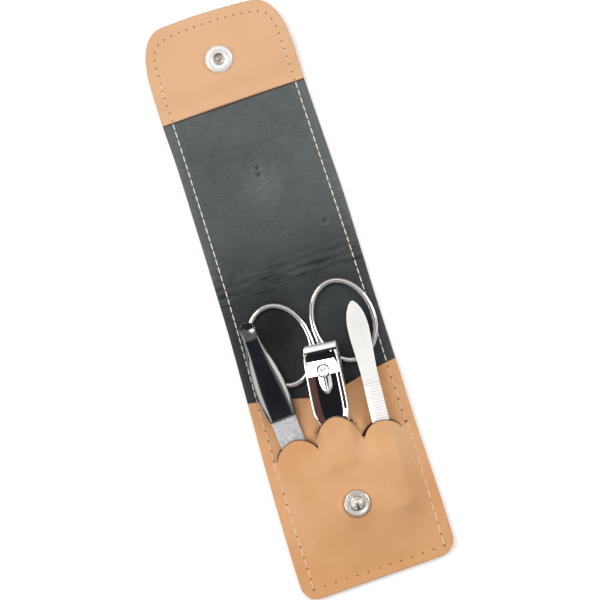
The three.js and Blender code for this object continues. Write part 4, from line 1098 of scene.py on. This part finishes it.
def smooth_path(points):
    """Cuts the corners of a line of points, twice."""
    points = [np.array(p, float) for p in points]
    for _ in range(2):
        out = [points[0]]
        for a, b in zip(points, points[1:]):
            out += [a * 0.75 + b * 0.25, a * 0.25 + b * 0.75]
        points = out + [points[-1]]
    return points


def sew(rows, pitch, thread_share):
    """Stitches and holes of rows of [path, leather, proud]. leather gives a place on it and its normal,
    and proud is how far the thread stands out of it."""
    stitches, holes = [], []
    inner = (1 - thread_share) / 2
    for path, leather_at, proud in rows:
        row = [leather_at(x, y) for x, y in walk(path, pitch)]
        for (a, normal), (b, _) in zip(row, row[1:]):
            stitches.append((mix(a, b, inner) + normal * proud, mix(a, b, 1 - inner) + normal * proud))
        holes += row
    return stitches, holes


def on_lining(x, y):
    return np.array([x, y, LINING_TOP + cover_rise(y)]), np.array([0, 0, 1.0])


def on_facing(x, y):
    low, high = (cover_rise(y + d) + facing_lift(x, y + d) for d in (-0.2, 0.2))
    slope = (high - low) / 0.4
    middle = np.array([x, y, LINING_TOP + FACING + (low + high) / 2])
    return middle, np.array([0, -slope, 1]) / math.hypot(slope, 1)


def on_upper_panel(x, y, grid=UPPER_GRID):
    base, tip = (surface(grid, x, y, PANEL + h) for h in (0, 1))
    return base, tip - base


def on_lower_panel(x, y):
    return on_upper_panel(x, y, LOWER_GRID)


def build_lining_threads():
    for name, lower, paths in (
            ("lining_thread_upper", False, ([(-25.9, 80.4), (-25.7, 60), (-25.6, 30), (-25.7, 7)],
                                            [(25.9, 82.0), (26.3, 60), (27.0, 25), (27.3, 7)])),
            ("lining_thread_lower", True, ([(-25.7, 7), (-26.0, -12), (-26.9, -38.0)],
                                           [(27.3, 7), (27.5, -12), (27.4, -36.0)]))):
        stitches, _ = sew([(smooth_path(path), on_lining, -0.05) for path in paths], LINING_PITCH, 0.9)
        piece = paint(stitch_mesh(name, stitches, 0.25), CREAM)
        bent(piece)


def build_facing_thread():
    top = smooth_path([(-25.7, 103), (-25.0, 109), (-21.9, 112.4), (-17.5, 113.6), (-9, 114.4), (0, 114.7),
                       (9, 114.5), (17.5, 113.7), (22.6, 112), (24.7, 108.2), (25.4, 102)])
    rows = [([(-25.7, 81.4), (-26.0, 92), (-25.7, 103)], on_facing, 0.04), (top, on_facing, -0.3),
            ([(25.4, 102), (25.7, 90), (25.8, 82.6)], on_facing, 0.04)]
    stitches, holes = sew(rows, LINING_PITCH, 0.84)
    dress(stitch_mesh("facing_thread", stitches, 0.22), TAN_THREAD, "cover")
    dress(hole_mesh("facing_holes", holes, 0.36), HOLE_SHADE, "cover")


def build_pocket_thread():
    left_top, left_middle, left_end = (-26.9, -39.5), (-27.15, -61), (-27.4, -114.6)
    right_top, right_middle, right_end = (27.2, -38.0), (27.5, -61), (27.7, -113.1)
    rows = [([left_top, left_middle], on_upper_panel, 0.09), ([left_middle, left_end], on_lower_panel, 0.09),
            ([right_top, right_middle], on_upper_panel, 0.09),
            ([right_middle, right_end], on_lower_panel, 0.07), ([left_end, right_end], on_lower_panel, -0.3)]
    stitches, holes = sew(rows, POCKET_PITCH, 0.82)
    between_slits = [on_upper_panel(-7.8, -55.4), on_upper_panel(8.1, -56.2)]
    dress(stitch_mesh("pocket_thread", stitches, 0.25), TAN_THREAD, "back")
    dress(hole_mesh("pocket_holes", holes + between_slits, 0.4), HOLE_SHADE, "back")


# Snap fastener, on a finer turning than the CAD's
def build_stud():
    seat, top, post = STUD_SEAT, STUD_SEAT + 0.9, 3.1
    under, high = seat - PANEL - 0.6, top + post
    rim, neck, head, bore = 5.2, 1.45, 1.85, 1.6
    foot = [(0, under), (bore, under), (bore, seat), (4.9, seat), (rim, seat + 0.25), (5.15, seat + 0.6),
            (4.75, top), (4.3, top - 0.04), (3.7, seat + 0.6), (3.05, seat + 0.4), (2.7, seat + 0.85),
            (2.45, top + 0.3)]
    sides = [(r, top + post * share)
             for r, share in ((head, 0.35), (head, 0.5), (neck, 0.6), (neck, 0.74), (head, 0.82))]
    tip = [(1.8, high - 0.42), (1.35, high - 0.14), (0.9, high - 0.12), (0.5, high - 0.01), (0, high)]
    profile = foot + sides + tip
    stud = lathe("stud", rounded(profile, 0.3), SNAP_X, STUD_Y, 160)
    dress(stud, NICKEL, "back", "snap_stud")

    # A slit across the sprung post and a groove round its foot, both painted dark as the shade in them
    slit_half, slit_half_length, slit_down, slit_from, slit_depth = 0.42, 1.2, 1.3, 0.7, 0.9
    groove_inner, groove_outer, groove_low, groove_high = 2.62, 3.1, seat + 0.2, seat + 0.9
    stud.data.materials.append(SLIT_SHADE_METAL)
    x, y, z = vertex_places(stud)
    in_slit = ((np.abs(x - SNAP_X) < slit_half) & (np.abs(y - STUD_Y + slit_down) < slit_half_length)
               & (z > seat + slit_from))
    for k in np.flatnonzero(in_slit):
        stud.data.vertices[k].co.z -= slit_depth * MM
    for face in stud.data.polygons:
        x, y, z = face.center / MM
        groove = (groove_inner < math.hypot(x - SNAP_X, y - STUD_Y) < groove_outer
                  and groove_low < z < groove_high)
        if groove or any(in_slit[k] for k in face.vertices):
            face.material_index = 1


def build_socket():
    face = FLAP_RISE + LINING_TOP + FACING
    foot = FLAP_RISE + OUTER + FIT
    height, rim, cavity, hole, lip = 1.5, 5.6, 3.3, 2.3, 0.45
    outside = [(0.96, 0), (1, 0.18), (0.985, 0.4), (0.93, 0.72), (0.84, 0.93), (0.72, 1), (0.6, 0.95)]
    inside = [(1.18, 0.84), (1.04, 0.72), (1, 0.5)]
    profile = [(cavity, foot), (3.9, foot), (3.9, face)]
    profile += [(rim * r, face + height * z) for r, z in outside]
    profile += [(hole * r, face + height * z) for r, z in inside]
    profile += [(hole, face + height * 0.5 - lip), (cavity, face + height * 0.5 - lip), (cavity, foot)]
    socket = lathe("socket", rounded(profile, 0.5), SNAP_X, SOCKET_Y)
    dress(socket, SOCKET_NICKEL, "cover", "snap_socket")

    profile = [(r, foot + z) for r, z in ((0, -0.15), (3.2, -0.15), (3.2, 0.05), (1.7, 0.05), (1.4, -0.05),
                                          (1.0, -0.06), (0.7, 0.04), (0, 0.05))]
    floor = lathe("socket_floor", rounded(profile, 0.15), SNAP_X, SOCKET_Y, 48)
    dress(floor, FLOOR_METAL, "cover")


# Nail file
def build_handle():
    # Rows as [share of the length, half width, half width of the face, height, depth]
    table = [(0, 0.18, 0.12, 0.15, 0.35), (0.012, 0.34, 0.26, 0.22, 0.6), (0.035, 0.45, 0.37, 0.26, 0.8),
             (0.075, 0.51, 0.44, 0.38, 0.95), (0.12, 0.52, 0.45, 0.62, 1), (0.17, 0.53, 0.45, 0.9, 1),
             (0.24, 0.58, 0.46, 1, 1), (0.36, 0.74, 0.49, 1, 1), (0.5, 0.88, 0.53, 1, 1),
             (0.62, 0.97, 0.6, 1, 1), (0.74, 1, 0.67, 1, 1), (0.88, 0.98, 0.72, 1, 1),
             (1, 0.91, 0.73, 0.95, 0.95)]
    nose, nose_half, cup_y, cup_depth = 3.25, 3.3, 3.5, 0.42
    close = np.concatenate([1 - np.cos(np.linspace(0, 1.25, 14)) ** 0.5, np.linspace(0.01, 0.3, 50)])
    shares = np.union1d(close, np.append(np.linspace(0.3, 1, 44), [0.985, 0.993, 0.997]))
    rings = []
    for s in shares:
        width, face, top, bottom = smooth_table(table, s)
        down = s * HANDLE_LENGTH
        w, f = width * HANDLE_HALF, face * HANDLE_HALF
        if down < nose:
            w = nose_half * math.sqrt(max(1 - (1 - down / nose) ** 2, 0.004))
            f = min(w * 0.86, f)
        shrink = 1 - 0.06 * max(0, (s - 0.985) / 0.015) ** 2
        w, f, t, b = (size * shrink for size in (w, f, top * HANDLE_THICK, bottom * HANDLE_THICK))
        section = [(w, -b * 0.4), (w, t * 0.4)] + [(f * k / 3, t) for k in (3, 1, 0, -1, -3)]
        section += [(-w, t * 0.4), (-w, -b * 0.4), (-f, -b), (f, -b)]
        ring = []
        for x, z in round_section(section, 1.5, 6):
            cup = cup_depth * hill(x, 2.3) * hill(cup_y - down, 2.5) if z > t * 0.5 else 0
            ring.append((x, -down, z - cup))
        rings.append(ring)
    dress(loft("handle", FILE, rings, 38), PLASTIC, "file", "file_handle")


def build_blade():
    # Half widths as shares of the blade's width, by share of its length
    plan = [(0, 0.5), (0.5, 0.48), (0.72, 0.4), (0.88, 0.25), (0.96, 0.13), (1, 0.04)]
    edge_round = 0.18
    rings = []
    for s in np.union1d(np.linspace(0, 1, 50), [0.003]):
        w, t = smooth_table(plan, s)[0] * BLADE_WIDTH, BLADE_THICK
        section = round_section([(w, t), (-w, t), (-w, -t), (w, -t)], edge_round, 3)
        y = -HANDLE_LENGTH - FIT - s * (BLADE_LENGTH - FIT)
        rings.append([(x, y, z) for x, z in section])
    dress(loft("blade", FILE, rings, 50), GRIT, "file", "file_blade")


# Scissors
BOW_X, BOW_Y, BOW_HALF_X, BOW_HALF_Y, ROD = 13.6, 41.9, 12.1, 16.45, 1.15


def bow_mesh(name, side):
    """A ring of round rod along an ellipse."""
    around, sides = 144, 16
    points = []
    for angle in circle(around):
        out = np.array([BOW_HALF_Y * math.cos(angle), BOW_HALF_X * math.sin(angle)])
        out /= np.linalg.norm(out)
        for turn in circle(sides):
            x = BOW_X + BOW_HALF_X * math.cos(angle) + out[0] * ROD * math.cos(turn)
            y = BOW_Y + BOW_HALF_Y * math.sin(angle) + out[1] * ROD * math.cos(turn)
            points.append((x * side, y, ROD * math.sin(turn)))
    faces = [tuple(k % len(points) for k in face) for face in ring_faces(around + 1, sides)]
    return clean(make(name, in_tool(SCISSORS, points), faces), 60)


def shank_rings(side):
    # Rows as [share of the way down, x, half width, half height]
    table = [(0, 1.5, 1.15, 1.15), (0.5, 1.5, 1.15, 1.15), (0.75, 1.75, 1.3, 1.12), (1, 2.36, 1.84, 0.9)]
    rings = []
    for s in np.linspace(0, 1, 40):
        x, half, high = smooth_table(table, s)
        y = mix(BOW_Y, 9.6, s)
        rings.append([((x + half * math.cos(a)) * side, y, high * math.sin(a)) for a in circle(20)])
    return rings


def curve_points(places):
    """A smooth line through [x, y] places."""
    places = np.array(places, float)
    padded = np.concatenate([[2 * places[0] - places[1]], places, [2 * places[-1] - places[-2]]])
    out = []
    for k in range(len(places) - 1):
        a, b, c, d = padded[k:k + 4]
        for t in np.linspace(0, 1, 10, endpoint=False):
            out.append(0.5 * (2 * b + (c - a) * t + (2 * a - 5 * b + 4 * c - d) * t ** 2
                              + (3 * b - 3 * c + d - a) * t ** 3))
    return np.array(out + [places[-1]])


def blade_rings(side):
    """A flat plate with eased edges, from its heel down to its tip, ground thin along its left edge."""
    left = curve_points([(0.5, 10.6), (-1.9, 6.4), (-4.0, 1.6), (-4.2, -1.5), (-3.5, -6), (-3.4, -14),
                         (-2.2, -23), (0.1, -32)])
    right = curve_points([(4.2, 10.6), (4.7, 6), (4.2, 1), (3.4, -3), (1.0, -6.3), (0.8, -14), (0.7, -23),
                          (0.4, -32)])
    low, high = FIT, FIT + 1.0
    rings = []
    for y in np.concatenate([np.linspace(10.5, -6.5, 36), np.linspace(-7.2, -31.9, 44)]):
        a, b = (np.interp(-y, -edge[:, 1], edge[:, 0]) for edge in (left, right))
        thin = 0.55 * ease(-5, -9, y)
        bevel = min(0.12, (b - a) * 0.2)
        section = [(b, low + bevel), (b, high - bevel), (b - bevel, high), ((a + b) / 2, high),
                   (a + bevel, high - thin), (a, high - bevel - thin), (a, low + bevel), (a + bevel, low),
                   (b - bevel, low)]
        rings.append([(x * side, y, z * side) for x, z in section])
    return rings


def build_scissors():
    for side, name in ((1, "right"), (-1, "left")):
        bow = bow_mesh("bow_" + name, side)
        shank = loft("shank_" + name, SCISSORS, shank_rings(side), 60)
        plate = loft("scissors_plate_" + name, SCISSORS, blade_rings(side), 30)
        for piece in (bow, shank):
            dress(piece, CHROME, "scissors_" + name)
        dress(plate, CHROME, "scissors_" + name, "scissors_" + name + "_half")
    softened("scissors_screw", CHROME, 0.05)


# Nail clipper
LEVER_START, LEVER_HALF = 3.4, 7.2
BAR_START, BAR_END = 6.7, 12.5
WALL, SLOPE_START, SLOPE_END = 0.3, 0.48, 3.3
LEVER_PLAN = table_plan([(share * (LEVER_END - LEVER_START), width * LEVER_HALF) for share, width in (
    (0, 0.9), (0.06, 0.955), (0.16, 0.99), (0.3, 1), (0.46, 1), (0.56, 0.965), (0.61, 0.88), (0.66, 0.77),
    (0.84, 0.68), (0.95, 0.57), (1, 0.4))])


def build_clipper_arms():
    plan = table_plan([(0, 6.3), (1.7, 6.65), (3.4, 7), (10, 6.9), (21.6, 6.5), (38, 5.4), (47, 4.75),
                       (50.6, 4.2), (52.6, 2.9), (53.6, 1.6), (54, 0.5)])

    def outer(x, d):
        return clipper_outer(d) + 0.12 * (1 - (x / 7) ** 2) * ease(0.4, 2, d)

    def inner(x, d):
        return clipper_inner(d)

    upper = strip("clipper_upper_arm_fine", CLIPPER, plan, outer, inner, CLIPPER_LENGTH, 0.4)
    lower = strip("clipper_lower_arm_fine", CLIPPER, plan, lambda x, d: -inner(x, d),
                  lambda x, d: -outer(x, d), CLIPPER_LENGTH, 0.4)
    dress(upper, CHROME, "clipper_upper", "clipper_upper_arm")
    dress(lower, CHROME, "clipper", "clipper_lower_arm")
    softened("clipper_rivet", CHROME, 0.1)


def lever_face(x, from_start):
    """The stored lever from its hollow side: walls, a sloping bar and a floor that rises on its left."""
    d = from_start + LEVER_START
    away = LEVER_PLAN(from_start[:, 0])[:, None] - np.abs(x)
    floor = lever_bottom(d) + LEVER_PLATE
    high = np.maximum(lever_top(d) - floor, 0.02)
    low = np.minimum(0.38, 0.8 * high)
    past_bar = d >= BAR_END + 0.001
    fillet = np.where(past_bar, low * np.clip((SLOPE_END - away) / (SLOPE_END - SLOPE_START), 0, 1),
                      0.3 * high * np.clip((0.8 - away) / 0.32, 0, 1))
    inner_wall = mix(high, low, (away - WALL) / (SLOPE_START - WALL))
    left = np.where(away < WALL, high - 0.1 * (1 - away / WALL),
                    np.where(away < SLOPE_START, inner_wall, fillet))
    right = high * np.interp(away, (0, 0.3, 0.44, 1.95, 2.3), (0.86, 1, 0.95, 0.1, 0))
    bar = np.where((d > BAR_START) & ~past_bar, 0.02 + 0.96 * (d - BAR_START) / (BAR_END - BAR_START), 0)
    return floor + np.maximum(np.where(x < 0, left, right), np.minimum(bar, high))


def lever_window(x, from_start):
    """The open cells between the lever's head and its bar."""
    away = LEVER_PLAN(from_start[:, 0])[:, None] - np.abs(x)
    return (from_start > 0.5) & (from_start < BAR_START - LEVER_START - 0.2) & (away > 0.44)


def build_lever():
    bands = (0, 0.04, 0.1, 0.18, 0.3, 0.37, 0.44, 0.48, 0.6, 1.0, 1.5, 1.85, 1.95, 2.1, 2.3, 2.4, 2.8, 3.2,
             3.3, 3.45)
    window_start = LEVER_START + 0.5
    rows = np.array([window_start, BAR_START - 0.2, BAR_START, BAR_START + 0.15, BAR_END, BAR_END + 0.04])
    head = dict(CLIPPER)
    head["x"], head["y"], head["z"] = in_tool(CLIPPER, (0, -LEVER_START, 0))
    lever = strip("lever", head, LEVER_PLAN, lever_face, lambda x, d: lever_bottom(d + LEVER_START),
                  LEVER_END - LEVER_START, 0.3, 25, lever_window, 0.07, 30, bands, rows - LEVER_START)
    dress(lever, CHROME, "clipper_lever", "clipper_lever")


def build_tongue():
    """A pointed plate with a ridge on each side of a groove, raised from the floor of the lever."""
    rings = []
    for s in np.linspace(0, 1, 44):
        d = PIN_DOWN + mix(1.2, 9.5, s)
        half = 3.05 * (1 - s ** 2.6) ** 0.7 + 0.05
        base = lever_bottom(d) + 0.5
        crest = base + 0.45 + 0.85 * (1 - s ** 5) ** 0.5
        groove = 0.34 * min(1.0, half / 1.2)
        section = [(half, base), (half, max(base + 0.05, crest - 0.36 * half)),
                   (groove + 0.1, crest - 0.36 * groove), (groove, crest - 0.55)]
        section += [(-x, z) for x, z in reversed(section)]
        rings.append([(x, -d, max(z, base)) for x, z in round_section(section, 0.09, 2)])
    dress(loft("lever_tongue", CLIPPER, rings, 30), CHROME, "clipper_lever")


def build_pin():
    """The pin's head stands in a collar, and a notch across it takes the lever."""
    top = lever_bottom(PIN_DOWN) + LEVER_WALLS
    under = -HALF_HEIGHT - FIT - 0.6

    def notch(x, y, z):
        if z <= top - 0.5 or math.hypot(x, y) >= 1.7:
            return 0.0
        return 0.55 * math.exp(-((y + 0.35) / 0.5) ** 4) * (1 if x > -0.4 else 0.2)

    profile = [(0, under), (3.06, under), (3.6, under + 0.6), (1.7, under + 0.6), (1.7, top - 0.5),
               (1.5, top - 0.12), (0.9, top + 0.05), (0, top + 0.12)]
    pin = lathe("pin", rounded(profile, 0.25, 3), 0, -PIN_DOWN, 72, CLIPPER, notch, 38)
    dress(pin, CHROME, "clipper", "clipper_pin")
    profile = [(1.9, top - 1.3), (1.9, top - 0.3), (2.1, top + 0.02), (2.4, top + 0.1), (2.75, top - 0.05),
               (3.0, top - 0.5), (3.0, top - 1.3), (1.9, top - 1.3)]
    collar = lathe("pin_collar", rounded(profile, 0.12, 3), 0, -PIN_DOWN, 72, CLIPPER, None, 38)
    dress(collar, COLLAR_STEEL, "clipper")


# Tweezers
def build_tweezers():
    leaf, grip, tip, pitch = 4.2, 3.4, 1.7, 1.1
    step_down, grip_end = 33.9, 62.0

    # Half widths by share of the length: the leaf-shaped head, the grip and the tip
    table = [(0, 0.08 * leaf), (0.006, 0.24 * leaf), (0.022, 0.47 * leaf), (0.05, 0.74 * leaf),
             (0.09, 0.93 * leaf), (0.135, leaf), (0.19, 0.98 * leaf), (0.25, 0.9 * leaf), (0.33, 0.81 * leaf),
             (0.39, 0.98 * grip), (0.44, grip), (0.6, grip), (0.9, 1.25 * tip), (1, tip)]
    plan = table_plan([(share * TWEEZERS_LENGTH, half) for share, half in table])

    def outer(x, d):
        """A rounded face that steps down to a grip with ribs, a groove line and a bevel on its left."""
        half = plan(d[:, 0])[:, None]
        across = x / np.maximum(half, 0.5)
        below = ease(step_down - 0.12, step_down + 0.12, d)
        step = 0.16 * below + 0.14 * hill(d - step_down, 0.16)
        ribbed = below * ease(grip_end + 1, grip_end - 1, d) * (x > -half * 0.5)
        ribs = 0.13 * (0.5 + 0.5 * np.cos(2 * math.pi * d / pitch)) ** 2 * ribbed
        bevel = 0.75 * np.clip((-x - half * 0.54) / (half * 0.46), 0, 1) * below
        line = 0.22 * hill(across + 0.54, 0.06) * below
        return tweezers_inner(d) + TWEEZERS_ARM - 0.10 * across ** 2 - step - ribs - bevel - line

    def inner(x, d):
        return tweezers_inner(d)

    upper = strip("tweezers_upper_fine", TWEEZERS, plan, outer, inner, TWEEZERS_LENGTH, 0.12, 45, soft=0.14,
                  angle=45)
    lower = strip("tweezers_lower_fine", TWEEZERS, plan, lambda x, d: -inner(x, d),
                  lambda x, d: -inner(x, d) - TWEEZERS_ARM, TWEEZERS_LENGTH, 0.6, 25, soft=0.14, angle=45)
    dress(upper, SATIN, "tweezers_upper", "tweezers_upper_arm")
    dress(lower, SATIN, "tweezers", "tweezers_lower_arm")
    softened("tweezers_spacer", SATIN, 0.1)


# Studio
def area_light(name, place_mm, size, watts):
    """A lamp that points at the middle of the case."""
    data = bpy.data.lights.new(name, "AREA")
    data.shape = "RECTANGLE"
    data.size, data.size_y = size
    data.energy = watts
    lamp = new_object(name, data)
    lamp.location = [c * MM for c in place_mm]
    lamp.rotation_euler = (-Vector(lamp.location)).to_track_quat("-Z", "Y").to_euler()


def build_world():
    """A white room, dark at mid height and in front, with dark places overhead that the metals mirror."""
    world = bpy.data.worlds.new("studio")
    world.use_nodes = True
    bpy.context.scene.world = world
    tree = world.node_tree
    white, dim, front = (0.88, 0.88, 0.88), (0.06, 0.045, 0.045), (0.1, 0.085, 0.075)
    direction = add(tree, "ShaderNodeTexCoord").outputs["Generated"]
    toward = add(tree, "ShaderNodeSeparateXYZ", {"Vector": direction}).outputs
    height = toward["Z"]
    sky = blend_colour(tree, spread(tree, height, 0.3, 0.62), dim, white)
    sky = blend_colour(tree, spread(tree, toward["Y"], -0.22, -0.45, 0.0, 0.65), sky, front)
    sky = blend_colour(tree, spread(tree, height, 0.12, 0.06), sky, white)

    # Dark places as a middle and half sizes in the direction's x and y, where their edge fades, and a colour
    brown, grey, black = (0.13, 0.065, 0.055), (0.03, 0.035, 0.04), (0.012, 0.013, 0.016)
    for x, y, wide, deep, inside, outside, colour in (
            (-0.13, -0.02, 0.35, 0.25, 0.85, 1.1, brown), (0.06, -0.06, 0.13, 0.17, 0.8, 1.15, grey),
            (-0.31, 0.0, 0.16, 0.15, 0.8, 1.15, black)):
        moved = add(tree, "ShaderNodeMapping", {"Vector": direction, "Location": (-x / wide, -y / deep, 0),
                                                "Scale": (1 / wide, 1 / deep, 0)}).outputs["Vector"]
        away = add(tree, "ShaderNodeVectorMath", {0: moved}, operation="LENGTH").outputs["Value"]
        sky = blend_colour(tree, spread(tree, away, inside, outside), colour, sky)
    connect(tree, tree.nodes["Background"], {"Color": sky, "Strength": 1.0})


def build_floor():
    """A white floor that shows a little glow of its own and keeps the shadow."""
    material, tree, shader = new_material("floor")
    connect(tree, shader, {"Base Color": (0.86, 0.86, 0.86, 1), "Roughness": 0.9})
    path = add(tree, "ShaderNodeLightPath").outputs
    seen = calculate(tree, "MAXIMUM", path["Is Camera Ray"], path["Is Glossy Ray"])
    seen = calculate(tree, "MAXIMUM", seen, path["Is Transmission Ray"])
    glow = add(tree, "ShaderNodeEmission", {"Strength": calculate(tree, "MULTIPLY", seen, 0.3)}).outputs[0]
    total = add(tree, "ShaderNodeAddShader", {0: shader.outputs[0], 1: glow}).outputs[0]
    connect(tree, tree.nodes["Material Output"], {"Surface": total})
    bpy.ops.mesh.primitive_plane_add(size=6, location=(0, 0, -0.05 * MM))
    floor = paint(bpy.context.object, material)
    floor.name = "floor"


def build_studio():
    bpy.context.scene.view_settings.view_transform = "Standard"
    build_world()
    build_floor()
    area_light("key", (-390, 440, 930), (0.3, 0.3), 2.9)
    area_light("left", (-800, -60, 530), (0.4, 0.5), 2.7)
    area_light("right", (800, 110, 540), (0.35, 0.5), 2.9)


def build_camera():
    """Straight above, turned as the photograph is."""
    distance, field, turn = 3000.0, 240.0, -17.3
    data = bpy.data.cameras.new("camera")
    data.angle = 2 * math.atan(field / 2 / distance)
    data.clip_start = 0.05
    camera = new_object("camera", data)
    camera.location = (1.71 * MM, -2.25 * MM, distance * MM)
    camera.rotation_euler = (0, 0, math.radians(turn))
    bpy.context.scene.camera = camera


build_camera()
build_leather()
build_panel()
build_lining_threads()
build_facing_thread()
build_pocket_thread()
build_stud()
build_socket()
build_handle()
build_blade()
build_scissors()
build_clipper_arms()
build_lever()
build_tongue()
build_pin()
build_tweezers()
for node in ("socket_spring", "snap_cap", "stud_washer"):
    softened(node, NICKEL, 0)
build_studio()
